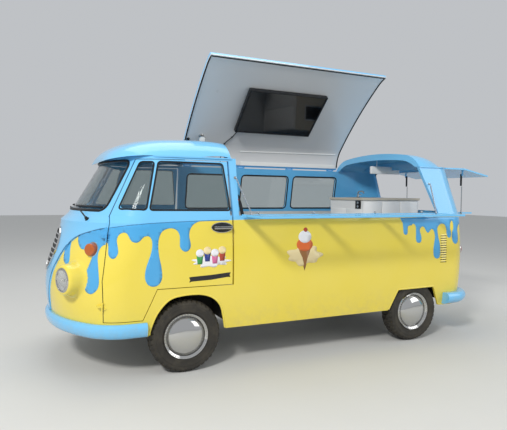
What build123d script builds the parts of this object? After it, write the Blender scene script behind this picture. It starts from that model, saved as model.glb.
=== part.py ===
from build123d import *
import os
from math import atan2, cos, hypot, radians, sin, sqrt

# Ice cream truck on a rounded, forward-control microbus body, in millimetres.
# The nose points to -X, the serving side is -Y, and +Z is up. The origin is on the ground,
# on the centre line, halfway between the axles.

# Running gear
wheelbase = 2400.0
wheel_plane = 764.0            # half the track
tyre_radius = 300.0
tyre_width = 158.0
tyre_room = 9.0
bead_radius = 178.0
trim_ring_radius = 192.0
kingpin_y = 672.0
kingpin_radius = 11.0
axle_tube = 28.0
fork_root_y = 596.0
fork_half = 26.0
fork_z = 88.0
fork_lug = 20.0
pin_play = 0.3
spindle_radius = 16.0

# Body heights
sill_z = 336.0
waist_z = 1235.0               # top of the lower panels, under the belt
belt_z = 1290.0
gutter_z = 1775.0
crown_z = 1946.0
wall = 34.0                    # a whole wall or door, skin to lining
roof_wall = 24.0
shut_gap = 6.0                 # gap round a door or lid
seat_gap = 0.3                 # fit of a piece that is set against a curved wall

# Plan shape: radii of the nose, of its corners, of the tail and of its corners
nose_radius = 1150.0
nose_corner = 350.0
tail_radius = 3000.0
tail_corner = 240.0

# Body sections: height, nose x, half width, tail x
lower_sections = (
    (sill_z, -2180.0, 842.0, 1974.0),
    (600.0, -2218.0, 868.0, 2004.0),
    (850.0, -2198.0, 874.0, 2008.0),
    (1080.0, -2122.0, 868.0, 2000.0),
    (waist_z, -2094.0, 858.0, 1992.0),
)
belt_section = (belt_z, -2035.0, 848.0, 1984.0)
gutter_section = (gutter_z, -1745.0, 757.0, 1838.0)

# Side openings, seen from the side as x, z
door_front_foot = (-1859.0, 466.0)
door_front_bulge = (-1868.0, 790.0)
door_front_belt = (-1797.0, belt_z)
door_front_head = (-1575.0, 1750.0)
door_rear_head = (-812.0, 1750.0)
door_rear_belt = (-796.0, belt_z)
door_rear_foot = (-796.0, 708.0)
door_step_high = (-1449.0, 708.0)
door_step_low = (-1560.0, 466.0)
door_rear_gap = 14.0
door_hinges = ((-1868.0, -829.0, 600.0), (-1830.0, -781.0, 1130.0))
door_barrel = 6.0
barrel_spans = {"door": ((-30.0, -12.5), (12.5, 30.0)), "nose": ((-12.0, 12.0),)}   # along the hinge line
leaf_reach = 34.0
leaf_depth = 40.0
leaf_trim = 4.0
handle_x = (-982.0, -826.0)    # oval door handle
handle_z = 1192.0
handle_stand = 34.0
handle_height = 22.0
handle_thick = 12.0
vent_window = ((-1726.0, 1348.0), (-1534.0, 1344.0), (-1450.0, 1722.0), (-1544.0, 1722.0))
door_window = ((-1500.0, 1342.0), (-826.0, 1338.0), (-872.0, 1722.0), (-1412.0, 1724.0))
front_arch = ((-1516.0, 300.0), (-1501.0, 400.0), (-1450.0, 520.0), (-1358.0, 620.0),
              (-1240.0, 652.0), (-1080.0, 650.0), (-968.0, 606.0), (-900.0, 520.0),
              (-850.0, 300.0))
rear_arch = ((852.0, 300.0), (971.0, 540.0), (1443.0, 544.0), (1556.0, 300.0))
serving_front_x = -744.0       # front edge of the serving opening
serving_head_x = 1303.0        # its rear edge at the gutter
serving_belt_x = 1500.0        # and at the belt
rear_seam_x = 1560.0
side_windows = ((-700.0, -115.0), (-28.0, 592.0), (672.0, 1300.0))
side_window_z = (1306.0, 1690.0)

# Raised V of the nose in front view: half width at each height, and how far it stands out
v_line = ((110.0, 455.0), (152.0, 529.0), (241.0, 808.0), (287.0, 897.0), (325.0, 976.0), (382.0, 1050.0),
          (484.0, 1119.0), (633.0, 1168.0), (749.0, 1200.0))
v_rise = (9.0, 9.0, 9.0, 9.0, 5.0)
v_head_half = 740.0
emblem_radii = (190.0, 172.0)
emblem_z = 985.0
emblem_thick = 12.0

# Windscreen in front view: half width at its foot and head, foot and head heights
screen_half = (628.0, 588.0)
screen_z = (1334.0, 1732.0)
screen_corner = 60.0
glass = 6.0
window_corner = 22.0
side_window_corner = 45.0

# Roof
cab_roof_rear_x = -786.0
soffit_rear_x = -1600.0
drip_reach = 12.0              # gutter lip beyond the wall
drip_z = (1766.0, 1777.0)
flap_gap = 8.0
shoulder_y = 211.0             # width of the rounded shoulder of the roof section
shoulder_rise = 0.78           # share of the roof's rise taken by the shoulder

# Roof flap, hinged at the far gutter
flap_open = 43.0
flap_hinge = (0.0, 772.0, 1784.0)
flap_free_y = -640.0
flap_hinge_x = (-700.0, -40.0, 620.0, 1220.0)
liner = 12.0
display = (-245.0, 705.0, -285.0, 285.0)       # x and y of the display in the closed pose
display_thick = 38.0
display_drop = 22.0

# Side shelf, hinged at the belt
shelf_front_x = -735.0
shelf_rear_x = 1400.0
shelf_depth = 400.0
shelf_bar = 56.0
shelf_thick = 18.0
shelf_hinge = (0.0, -884.0, 1276.0)
shelf_rise = 8.0               # underside of the shelf above its hinge axis
shelf_hinge_x = (-640.0, -20.0, 600.0, 1300.0)
barrel_radius = 6.0
barrel_length = 50.0
barrel_play = 0.5

# Rear hatch, rear shelf and the struts between them
hatch_half = 590.0
hatch_hinge = (1852.0, 0.0, 1764.0)
hatch_rise = 7.0               # underside of the hatch above its hinge axis
hatch_hinge_y = (-420.0, 420.0)
hatch_reach = (276.0, 378.0)   # the flat part and the turned-down part
hatch_droop = 11.0
hatch_thick = 16.0
strut_y = 456.0
strut_along = 372.0            # pivot of the upper strut, measured along the hatch
strut_pivot_drop = 34.0
strut_head = 126.0             # length of the upper strut under its pivot
strut_head_radius = 11.0
strut_eye = 12.0
strut_pin = 4.0
strut_radius = 6.0
strut_meet = 6.0               # gap between the two halves of a strut
shelf_pivot = (2235.0, 1277.0)
rear_shelf_half = 440.0
rear_shelf_hinge = (2018.0, 0.0, 1262.0)
rear_shelf_rise = 7.0
rear_shelf_thick = 16.0
rear_shelf_hinge_y = (-280.0, 280.0)
rear_shelf_reach = 405.0
rear_opening_half = 560.0
rear_opening_z = (1300.0, 1750.0)
lid_half = 430.0
lid_z = (480.0, 830.0)
lid_hinge = (2020.0, 0.0, 833.0)
lid_hinge_y = (-250.0, 250.0)

# Lamps, bumpers and wheels
headlamp_at = (-2127.0, -620.0, 788.0)         # middle of the lens
headlamp_turn = 23.6                           # outward from straight ahead
headlamp_radius = 104.0
bucket_radius = (120.0, 138.0)
bucket_depth = 190.0
front_bumper = ((336.0, 10.0), (350.0, 32.0), (385.0, 45.0), (425.0, 42.0), (452.0, 16.0))
rear_bumper = ((350.0, 30.0), (364.0, 70.0), (400.0, 95.0), (440.0, 90.0), (468.0, 30.0))
bumper_ends = (-1530.0, 1575.0)
dome_radius = 156.0
dome_height = 104.0

# Inside
floor_z = 400.0
floor_thick = 34.0
rail_y = (340.0, 400.0)
house_reach = {"front": 520.0, "rear": 640.0}   # inner face of each wheel house from the centre line
house_half = 350.0
house_wall = 14.0
house_top = 654.0
rail_z = 352.0
seat_x = (-1240.0, -860.0)
seat_half = 640.0
seat_base_top = 800.0
seat_soft = 100.0
seat_back_top = 1270.0
counter_box = (950.0, 1730.0, -300.0, 320.0)
counter_top_z = 1445.0
counter_top_thick = 26.0


def plan_wire(z, nose_x, half, tail_x, inset=0.0):
    """Closed outline of the body at one height, from tangent arcs and two straight sides."""
    nose_x, tail_x, half = nose_x + inset, tail_x - inset, half - inset
    big, small = nose_radius - inset, nose_corner - inset
    tail_big, tail_small = tail_radius - inset, tail_corner - inset
    nose_c = nose_x + big
    corner_x = nose_c - sqrt((big - small) ** 2 - (half - small) ** 2)
    tail_c = tail_x - tail_big
    tail_corner_x = tail_c + sqrt((tail_big - tail_small) ** 2 - (half - tail_small) ** 2)

    def on_circle(cx, cy, radius, angle):
        return (cx + radius * cos(angle), cy + radius * sin(angle), z)

    nose_turn = atan2(half - small, nose_c - corner_x)
    tail_turn = atan2(half - tail_small, tail_corner_x - tail_c)
    half_turn = radians(180)
    quarter = radians(90)
    nose_near = on_circle(nose_c, 0, big, half_turn + nose_turn)
    nose_far = on_circle(nose_c, 0, big, half_turn - nose_turn)
    tail_near = on_circle(tail_c, 0, tail_big, -tail_turn)
    tail_far = on_circle(tail_c, 0, tail_big, tail_turn)
    mid_near = on_circle(corner_x, small - half, small, (half_turn + nose_turn + 3 * quarter) / 2)
    mid_far = on_circle(corner_x, half - small, small, (half_turn - nose_turn + quarter) / 2)
    mid_tail_near = on_circle(tail_corner_x, tail_small - half, tail_small, -(tail_turn + quarter) / 2)
    mid_tail_far = on_circle(tail_corner_x, half - tail_small, tail_small, (tail_turn + quarter) / 2)
    near_front, near_rear = (corner_x, -half, z), (tail_corner_x, -half, z)
    far_front, far_rear = (corner_x, half, z), (tail_corner_x, half, z)
    return Wire([
        Edge.make_three_point_arc(nose_far, (nose_x, 0, z), nose_near),
        Edge.make_three_point_arc(nose_near, mid_near, near_front),
        Edge.make_line(near_front, near_rear),
        Edge.make_three_point_arc(near_rear, mid_tail_near, tail_near),
        Edge.make_three_point_arc(tail_near, (tail_x, 0, z), tail_far),
        Edge.make_three_point_arc(tail_far, mid_tail_far, far_rear),
        Edge.make_line(far_rear, far_front),
        Edge.make_three_point_arc(far_front, mid_far, nose_far),
    ])


def low_section(z):
    """Nose x, half width and tail x between the two lowest sections."""
    low, high = lower_sections[0], lower_sections[1]
    share = (z - low[0]) / (high[0] - low[0])
    return tuple(a + (b - a) * share for a, b in zip(low[1:], high[1:]))


def stack(inset=0.0):
    """The solid body below the roof, drawn in by an inset."""
    lower = Solid.make_loft([plan_wire(*s, inset) for s in lower_sections])
    shoulder = Solid.make_loft([plan_wire(*s, inset) for s in (lower_sections[-1], belt_section)], True)
    upper = Solid.make_loft([plan_wire(*s, inset) for s in (belt_section, gutter_section)], True)
    return [lower, shoulder, upper]


def side_prism(points, y_low, y_high, corner=0.0):
    """Prism of a side-view outline, given as x, z, from y_low to y_high, its corners rounded."""
    face = make_face(Polyline([(x, 0, z) for x, z in points], close=True))
    if corner:
        face = fillet(face.vertices(), corner)
    return Pos(0, y_high, 0) * extrude(face, y_high - y_low, dir=(0, -1, 0))


def block(x0, x1, y0, y1, z0, z1):
    return Pos((x0 + x1) / 2, (y0 + y1) / 2, (z0 + z1) / 2) * Box(x1 - x0, y1 - y0, z1 - z0)


def rod(start, end, radius):
    """Round bar from one point to another."""
    line = Vector(*end) - Vector(*start)
    plane = Plane(origin=start, z_dir=line)
    return extrude(plane * Circle(radius), line.length)


def mirrored(shape):
    return mirror(shape, about=Plane.XZ)


def grown(points, grow):
    """Outline moved outwards by grow, inwards if negative, corners kept sharp."""
    out = []
    count = len(points)
    area = sum(points[i][0] * points[(i + 1) % count][1] - points[(i + 1) % count][0] * points[i][1]
               for i in range(count))
    side = 1.0 if area > 0 else -1.0
    for i in range(count):
        (ax, az), (bx, bz), (cx, cz) = points[i - 1], points[i], points[(i + 1) % count]
        ux, uz = bx - ax, bz - az
        vx, vz = cx - bx, cz - bz
        lu, lv = hypot(ux, uz), hypot(vx, vz)
        nu, nv = (side * uz / lu, -side * ux / lu), (side * vz / lv, -side * vx / lv)
        scale = grow / (1 + nu[0] * nv[0] + nu[1] * nv[1])
        out.append((bx + scale * (nu[0] + nv[0]), bz + scale * (nu[1] + nv[1])))
    return out


far_out = 1200.0
nose_cut_x = door_front_foot[0] + 60
door_outline = (door_front_foot, door_front_bulge, door_front_belt, door_front_head,
                door_rear_head, door_rear_belt, door_rear_foot, door_step_high, door_step_low)
axle_x = {"front": -wheelbase / 2, "rear": wheelbase / 2}
sides = {"left": -1, "right": 1}

outer = stack()
body_solid = outer[0] + outer[1] + outer[2]
inner = stack(wall)
rings = [o - i for o, i in zip(outer, inner)]
room_inside = stack(wall + seat_gap)[0]
skin_room = stack(-seat_gap)[0]
shell = rings[0] + rings[1] + rings[2]
lower_ring = rings[0] + rings[1]


def both(shape):
    """A shape joined with its mirror image."""
    return shape + mirrored(shape)


def pair(shape):
    """A shape and its mirror image, kept apart."""
    return Compound(children=[shape, mirrored(shape)])


def arch_cut(points, axle):
    """Wheel opening, with the room that the tyre needs behind the skin."""
    x, face = axle_x[axle], wheel_plane + tyre_width / 2 + tyre_room
    room = rod((x, -face, tyre_radius), (x, -620, tyre_radius), tyre_radius + 2 * tyre_room)
    return both(side_prism(points, -far_out, -620) + room)


def door_hole():
    return both(side_prism(door_outline, -far_out, -560))


def screen_face(grow=0.0):
    """Windscreen outline in front view."""
    low, high = screen_half[0] + grow, screen_half[1] + grow
    foot, head = screen_z[0] - grow, screen_z[1] + grow
    return Polyline([(0, -low, foot), (0, low, foot), (0, high, head), (0, -high, head)], close=True)


def screen_prism(grow=0.0):
    face = make_face(screen_face(grow))
    return Pos(-2300, 0, 0) * extrude(fillet(face.vertices(), screen_corner + grow), 900, dir=(1, 0, 0))


def raised_v():
    """Body solid grown by the V's rise, faded out towards the belt."""
    wires = [plan_wire(*s, -rise) for s, rise in zip(lower_sections, v_rise)]
    lower = Solid.make_loft(wires)
    shoulder = Solid.make_loft([wires[-1], plan_wire(*belt_section)], True)
    half = [(-2400, y, z) for y, z in v_line] + [(-2400, v_head_half, belt_z)]
    outline = make_face(Polyline(half + [(x, -y, z) for x, y, z in reversed(half)], close=True))
    return (lower + shoulder) & extrude(outline, nose_cut_x + 2400, dir=(1, 0, 0))


def headlamp_axis():
    a = radians(headlamp_turn)
    return Vector(cos(a), sin(a), 0)


def bucket():
    """Fairing that carries the near headlamp, run back into the nose."""
    back = headlamp_axis() * bucket_depth
    plane = Plane(origin=Vector(*headlamp_at) + headlamp_axis() * seat_gap, z_dir=headlamp_axis())
    foot = Plane(origin=Vector(*headlamp_at) + back, z_dir=headlamp_axis())
    return loft([plane * Circle(bucket_radius[0]), foot * Circle(bucket_radius[1])])


def nose_panel():
    front = block(-2400, nose_cut_x, -far_out, far_out, sill_z - 5, belt_z)
    skin = (lower_ring & front) + (raised_v() - outer[0] - outer[1])
    lamps = both(bucket() - outer[0])
    return skin + lamps - door_hole() + both(door_barrels("nose"))


def front_arches():
    """The panels under the doors, round the front wheels."""
    region = block(nose_cut_x, door_rear_foot[0], -far_out, far_out, sill_z - 5, door_rear_foot[1] + 5)
    return (lower_ring & region) - door_hole() - arch_cut(front_arch, "front")


def cab_frame():
    """Windscreen pillars, door heads, door pillars and gutter of the cab."""
    region = block(-2400, serving_front_x, -far_out, far_out, belt_z, gutter_z + 1)
    frame = (rings[2] & region) - door_hole() - screen_prism()
    post = block(door_rear_foot[0], serving_front_x, -far_out, far_out, sill_z, belt_z)
    posts = (lower_ring & post) - door_hole() - arch_cut(front_arch, "front")
    return frame + posts


def left_side():
    region = block(serving_front_x, rear_seam_x, -far_out, 0, sill_z - 5, belt_z)
    side = (lower_ring & region) - arch_cut(front_arch, "front") - arch_cut(rear_arch, "rear")
    for lug in shelf_lugs():
        side = side + lug
    return side


def side_window(x0, x1, inset=0.0):
    """Prism of one window of the far side."""
    low, high = side_window_z[0] + inset, side_window_z[1] - inset
    outline = ((x0 + inset, low), (x1 - inset, low), (x1 - inset, high), (x0 + inset, high))
    return side_prism(outline, 600, far_out, side_window_corner - inset)


def right_side():
    region = block(serving_front_x, rear_seam_x, 0, far_out, sill_z - 5, gutter_z + 1)
    side = (shell & region) - arch_cut(front_arch, "front") - arch_cut(rear_arch, "rear")
    for x0, x1 in side_windows:
        side -= side_window(x0, x1)
    for lug in flap_lugs():
        side = side + lug
    return side


def rear_end():
    """Tail panel with both rear quarters, open for the hatch and the motor lid."""
    quarter = ((serving_belt_x, belt_z), (serving_head_x, gutter_z), (2300, gutter_z + 1), (2300, belt_z))
    lower = lower_ring & block(rear_seam_x, 2300, -far_out, far_out, sill_z - 5, belt_z)
    upper_left = rings[2] & side_prism(quarter, -far_out, 0)
    upper_right = rings[2] & block(rear_seam_x, 2300, 0, far_out, belt_z, gutter_z + 1)
    end = lower + upper_left + upper_right
    end -= block(1700, 2300, -rear_opening_half, rear_opening_half, *rear_opening_z)
    end -= block(1700, 2300, -lid_half, lid_half, *lid_z)
    end -= arch_cut(rear_arch, "rear")
    for lug in (cross_lugs(rear_shelf_hinge, rear_shelf_hinge_y) + cross_lugs(hatch_hinge, hatch_hinge_y)
                + cross_lugs(lid_hinge, lid_hinge_y, barrel_radius)):
        end = end + lug
    return end


def motor_lid():
    region = block(1700, 2300, shut_gap - lid_half, lid_half - shut_gap,
                   lid_z[0] + shut_gap, lid_z[1] - shut_gap)
    lid = lower_ring & region
    x, z = lid_hinge[0], lid_hinge[2]
    for y in lid_hinge_y:
        half = barrel_length / 2 + barrel_play
        for start in (y - half - barrel_length / 2, y + half):
            end = start + barrel_length / 2
            foot = block(x - 160, x, start, end, z - 28, z - 12) - body_solid
            riser = block(x - 10, x, start, end, z - 13, z)
            lid = lid + (foot + riser + rod((x, start, z), (x, end, z), barrel_radius))
    return lid


def door_barrels(owner):
    """Barrels of the near door's two hinges: the ends on the door, the middle on the nose."""
    low, high = (Vector(*p) for p in door_hinges)
    along = (high - low).normalized()
    on_door = owner == "door"
    keep = side_prism(grown(door_outline, -shut_gap) if on_door else door_outline, -far_out, -500)
    shape = None
    for place in (low, high):
        for a, b in barrel_spans[owner]:
            start, end = place + along * a, place + along * b
            x0, x1 = sorted((start.X, start.X + (leaf_reach if on_door else -leaf_reach)))
            z0, z1 = min(start.Z, end.Z) + leaf_trim, max(start.Z, end.Z) - leaf_trim
            leaf = block(x0, x1, start.Y, start.Y + leaf_depth, z0, z1)
            leaf = leaf & keep if on_door else leaf - keep
            lug = rod(tuple(start), tuple(end), door_barrel) + (leaf - body_solid)
            shape = lug if shape is None else shape + lug
    return shape


def door_handle():
    """Bow handle on two stalks."""
    x0, x1 = handle_x
    skin = -lower_sections[3][2]
    y = skin - handle_stand
    grip = block(x0, x1, y, y + handle_thick, handle_z - handle_height / 2, handle_z + handle_height / 2)
    grip = fillet(grip.edges().filter_by(Axis.X), handle_thick / 3)
    for x in (x0 + handle_height, x1 - handle_height):
        start, end = (x, y + handle_thick / 2, handle_z), (x, skin + wall / 2, handle_z)
        grip = grip + rod(start, end, handle_thick / 2)
    return grip


def door(side):
    trimmed = side_prism(list(grown(door_outline, -shut_gap)), -far_out, -560)
    for (x, _), z0, z1 in ((door_rear_head, belt_z + 1, 2000), (door_rear_belt, 0, belt_z + 1)):
        trimmed -= block(x - door_rear_gap, 0, -far_out, far_out, z0, z1)
    panel = shell & trimmed
    for outline in (vent_window, door_window):
        panel -= side_prism(outline, -far_out, -560, window_corner)
    panel = panel + door_barrels("door") + door_handle()
    return panel if side == "left" else mirrored(panel)


def glass_ring():
    """Thin wall in the middle of the upper body's wall, that the panes are cut from."""
    middle = (wall - glass) / 2
    outside = Solid.make_loft([plan_wire(*s, middle) for s in (belt_section, gutter_section)], True)
    inside = Solid.make_loft([plan_wire(*s, middle + glass) for s in (belt_section, gutter_section)], True)
    return outside - inside


def roof_section(x, half, base, crown, inset=0.0):
    """Closed roof cross-section at x: two shoulders and a crown, each one arc."""
    half, crown = half - inset, crown - inset
    rise = crown - base
    knee_y, knee_z = half - shoulder_y, base + shoulder_rise * rise
    mid_y, mid_z = half - shoulder_y * 0.42, base + shoulder_rise * rise * 0.63
    return Wire([
        Edge.make_three_point_arc((x, -half, base), (x, -mid_y, mid_z), (x, -knee_y, knee_z)),
        Edge.make_three_point_arc((x, -knee_y, knee_z), (x, 0, crown), (x, knee_y, knee_z)),
        Edge.make_three_point_arc((x, knee_y, knee_z), (x, mid_y, mid_z), (x, half, base)),
        Edge.make_line((x, half, base), (x, -half, base)),
    ])


half_gutter = gutter_section[2]
cab_crown_z = crown_z + 12
cab_roof_sections = (
    (-1790.0, 380.0, gutter_z - 35, gutter_z - 13),
    (-1765.0, 480.0, gutter_z - 27, gutter_z + 37),
    (-1690.0, 590.0, gutter_z - 13, gutter_z + 93),
    (-1560.0, 680.0, gutter_z, gutter_z + 143),
    (-1350.0, 740.0, gutter_z, cab_crown_z - 2),
    (-1100.0, half_gutter, gutter_z, cab_crown_z + 12),
    (cab_roof_rear_x, half_gutter, gutter_z, cab_crown_z),
)
rear_roof_sections = (
    (serving_head_x + flap_gap, half_gutter, gutter_z, crown_z),
    (1480.0, half_gutter - 6, gutter_z, crown_z - 10),
    (1660.0, 680.0, gutter_z, gutter_z + 118),
    (1795.0, 500.0, gutter_z, gutter_z + 50),
)


def roof_solid(sections, inset=0.0):
    return Solid.make_loft([roof_section(*s, inset) for s in sections])


def drip_rail(x0, x1):
    """Lip of the gutter, outside the wall."""
    strip = extrude(make_face(plan_wire(drip_z[0], *gutter_section[1:], -drip_reach)),
                    drip_z[1] - drip_z[0], dir=(0, 0, 1))
    return (strip & block(x0, x1, -far_out, far_out, 1700, 1800)) - body_solid


def cab_roof():
    outside = roof_solid(cab_roof_sections)
    hood = outside - roof_solid(cab_roof_sections[1:], roof_wall)
    soffit = outside & block(-1900, soffit_rear_x, -far_out, far_out, 1700, gutter_z + 4)
    rail = drip_rail(cab_roof_sections[3][0], cab_roof_rear_x)
    rail -= block(-2000, 0, -half_gutter + 30, half_gutter - 30, 1700, 1800)
    return (hood + soffit + section_ring(cab_roof_rear_x - 30, cab_roof_rear_x) - body_solid) + rail


def section_ring(x0, x1):
    ring = Solid.make_loft([roof_section(x, half_gutter, gutter_z, crown_z) for x in (x0, x1)], True)
    hole = Solid.make_loft([roof_section(x, half_gutter, gutter_z, crown_z, 70) for x in (x0, x1)], True)
    return ring - hole


def rear_roof():
    front = serving_head_x + flap_gap
    hood = roof_solid(rear_roof_sections) - roof_solid(rear_roof_sections[:-1], roof_wall)
    rail = drip_rail(front, 1770) - block(0, 2000, -half_gutter + 30, half_gutter - 30, 1700, 1800)
    return hood + section_ring(front, front + 30) + rail


def flap_solid(low, high):
    """Strip of the roof section between two depths under its outer surface, closed pose."""
    x0, x1 = cab_roof_rear_x + flap_gap, serving_head_x
    shells = []
    for depth in (low, high):
        sections = [roof_section(x, half_gutter, gutter_z + 6, crown_z, depth) for x in (x0, x1)]
        shells.append(Solid.make_loft(sections, True))
    keep = block(x0 - 10, x1 + 10, flap_free_y, 800, gutter_z, 2100)
    return (shells[0] - shells[1]) & keep


def flap_skin():
    """The flap's outer shell in its closed pose, with its barrels along the far gutter."""
    shape = flap_solid(0, roof_wall)
    y, z = flap_hinge[1], flap_hinge[2]
    for x in flap_hinge_x:
        half = barrel_length / 2 + barrel_play
        for start in (x - half - barrel_length / 2, x + half):
            end = start + barrel_length / 2
            leaf = block(start, end, half_gutter - 18, y, z - 3, z + 3)
            shape = shape + (leaf + rod((start, y, z), (end, y, z), barrel_radius))
    return shape


def flap_lugs():
    y, z = flap_hinge[1], flap_hinge[2]
    lugs = []
    for x in flap_hinge_x:
        half = barrel_length / 2
        foot = block(x - half, x + half, 700, y + barrel_radius, z - 22, z - 14) - body_solid
        post = block(x - half, x + half, y - 3, y + barrel_radius, z - 16, z)
        lugs.append(foot + post + rod((x - half, y, z), (x + half, y, z), barrel_radius))
    return lugs


def opened_flap(shape):
    return shape.rotate(Axis(flap_hinge, (1, 0, 0)), -flap_open)


def side_shelf():
    """Ladder frame with three clear bays."""
    x0, x1 = shelf_front_x, shelf_rear_x
    y1 = shelf_hinge[1]
    y0 = y1 - shelf_depth
    z0 = shelf_hinge[2] + shelf_rise
    z1 = z0 + shelf_thick
    frame = block(x0, x1, y0, y1, z0, z1)
    pitch = (x1 - x0 - shelf_bar) / 3
    for i in range(3):
        left = x0 + shelf_bar + i * pitch
        frame -= block(left, left + pitch - shelf_bar, y0 + shelf_bar, y1 - shelf_bar, z0 - 1, z1 + 1)
    notch_y = y1 - shelf_thick - 2 * barrel_radius
    for x in shelf_hinge_x:
        half = barrel_length / 2 + barrel_play
        frame -= block(x - half, x + half, notch_y, y1 + 1, z0 - 1, z1 + 1)
        for start in (x - half - barrel_length / 2, x + half):
            frame = frame + rod((start, y1, shelf_hinge[2]), (start + barrel_length / 2, y1, shelf_hinge[2]),
                                barrel_radius)
            frame = frame + block(start, start + barrel_length / 2, y1 - 24, y1, shelf_hinge[2], z0 + 1)
    return frame


def shelf_lugs():
    """Barrels of the side shelf's hinges, carried on short leaves off the belt."""
    y, z = shelf_hinge[1], shelf_hinge[2]
    lugs = []
    for x in shelf_hinge_x:
        half = barrel_length / 2
        barrel = rod((x - half, y, z), (x + half, y, z), barrel_radius)
        leaf = block(x - half, x + half, y, -820, z - barrel_radius, z)
        lugs.append(barrel + (leaf - body_solid))
    return lugs


def shelf_panes():
    x0, x1 = shelf_front_x, shelf_rear_x
    y1 = shelf_hinge[1]
    y0 = y1 - shelf_depth
    z0 = shelf_hinge[2] + shelf_rise + shelf_thick / 2 - glass / 2
    pitch = (x1 - x0 - shelf_bar) / 3
    panes = []
    for i in range(3):
        left = x0 + shelf_bar + i * pitch
        panes.append(block(left + seat_gap, left + pitch - shelf_bar - seat_gap,
                           y0 + shelf_bar + seat_gap, y1 - shelf_bar - seat_gap, z0, z0 + glass))
    return Compound(children=panes)


def hatch():
    """Rear awning in its open pose: a flat part and a turned-down part."""
    x0, z0 = hatch_hinge[0], hatch_hinge[2] + hatch_rise
    flat, drop = hatch_reach
    a = radians(hatch_droop)
    x1, x2 = x0 + flat, x0 + flat + drop * cos(a)
    z2 = z0 - drop * sin(a)
    t = hatch_thick
    profile = [(x0, z0), (x1, z0), (x2, z2), (x2, z2 + t), (x1, z0 + t), (x0, z0 + t)]
    panel = side_prism(profile, -hatch_half, hatch_half)
    panel = cross_hinge(panel, hatch_hinge, hatch_rise, t, hatch_hinge_y)
    x, z = strut_pivot()
    for s in (-1, 1):
        y = s * strut_y
        y0, y1 = sorted((y + s * 13, y + s * 21))
        panel = panel + block(x - 10, x + 10, y0, y1, z - 10, z + strut_pivot_drop + 4)
        panel = panel + rod((x, y - s * 12, z), (x, y + s * 21, z), strut_pin)
    return panel


def strut_pivot():
    """Place of the pin that each upper strut swings on, x and z in the open pose."""
    along, a = strut_along - hatch_reach[0], radians(hatch_droop)
    x = hatch_hinge[0] + hatch_reach[0] + along * cos(a)
    z = hatch_hinge[2] + hatch_rise - along * sin(a) - strut_pivot_drop
    return x, z


def tyre(side, axle):
    r0, r1, w = bead_radius, tyre_radius, tyre_width / 2
    half = [(r0, 0.72 * w), (r0 + 22, 0.86 * w), (r0 + 55, w),
            (r1 - 38, w), (r1 - 9, 0.8 * w), (r1, 0.62 * w)]
    outline = Polyline([(r, -y) for r, y in half] + list(reversed(half)), close=True)
    ring = revolve(make_face(Plane.XY * outline), Axis.Y)
    return Pos(axle_x[axle], sides[side] * wheel_plane, tyre_radius) * ring


def wheel(side, axle):
    """Pressed steel wheel with its domed hub cap; +Y of the profile is outboard."""
    r0, w = bead_radius - seat_gap, tyre_width / 2
    hub = spindle_radius + pin_play
    well = w * 0.7
    profile = Polyline([(hub, -6), (120, -6), (140, 22), (158, 22), (158, -well), (r0, -well), (r0, well),
                        (166, well), (158, 34), (136, 34), (116, 6), (hub, 6)], close=True)
    disc = revolve(make_face(Plane.XY * profile), Axis.Y)
    foot, rim, top = 34 + seat_gap, dome_radius, dome_height
    cap_profile = Wire([
        Edge.make_line((rim - 8, foot, 0), (rim - 2, foot, 0)),
        Edge.make_line((rim - 2, foot, 0), (rim, foot + 10, 0)),
        Edge.make_bezier((rim, foot + 10, 0), (rim - 5, top - 22, 0), (rim * 0.55, top, 0), (0, top, 0)),
        Edge.make_line((0, top, 0), (0, top - 4, 0)),
        Edge.make_bezier((0, top - 4, 0), (rim * 0.54, top - 4, 0), (rim - 11, top - 26, 0),
                         (rim - 6, foot + 10, 0)),
        Edge.make_line((rim - 6, foot + 10, 0), (rim - 8, foot, 0)),
    ])
    cap = revolve(make_face(cap_profile), Axis.Y)
    lip = well + seat_gap
    trim_profile = Polyline([(164, lip), (r0 - 2, lip), (r0, lip + 3), (trim_ring_radius, w * 0.84),
                             (trim_ring_radius - 6, w * 0.95), (166, w * 0.78)], close=True)
    trim = revolve(make_face(Plane.XY * trim_profile), Axis.Y)
    turned = Compound(children=[disc, cap, trim])
    if side == "left":
        turned = turned.rotate(Axis.Z, 180)
    return Pos(axle_x[axle], sides[side] * wheel_plane, tyre_radius) * turned


def knuckle(side):
    """Steering knuckle: kingpin boss, pin, spindle and steering arm."""
    s = sides[side]
    x, z, y = axle_x["front"], tyre_radius, s * kingpin_y
    pin = rod((x, y, z - fork_z), (x, y, z + fork_z), kingpin_radius)
    boss_half = fork_z - fork_lug - 2
    boss = rod((x, y, z - boss_half), (x, y, z + boss_half), 24)
    spindle = rod((x, y, z), (x, s * (wheel_plane - 7), z), 38)
    stub = rod((x, y, z), (x, s * (wheel_plane + 8), z), spindle_radius)
    arm = block(x, x + 130, min(y, y - s * 20), max(y, y - s * 20), z - 8, z + 8)
    return pin + boss + spindle + stub + arm


def front_axle():
    """Cross tube with a fork at each end for the kingpins and a saddle under each rail."""
    x, z = axle_x["front"], tyre_radius
    beam = rod((x, -fork_root_y, z), (x, fork_root_y, z), axle_tube)
    for s in (-1, 1):
        root, tip = s * fork_root_y, s * (kingpin_y + fork_half)
        x0, x1 = x - fork_half, x + fork_half
        beam = beam + block(x0, x1, *sorted((root, root + s * 16)), z - fork_z, z + fork_z)
        for low in (z - fork_z, z + fork_z - fork_lug):
            beam = beam + block(x0, x1, *sorted((root, tip)), low, low + fork_lug)
        y = s * kingpin_y
        beam = beam - rod((x, y, z - 2 * fork_z), (x, y, z + 2 * fork_z), kingpin_radius + pin_play)
    return beam + both(block(x - 30, x + 30, *rail_y, z, rail_z))


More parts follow.
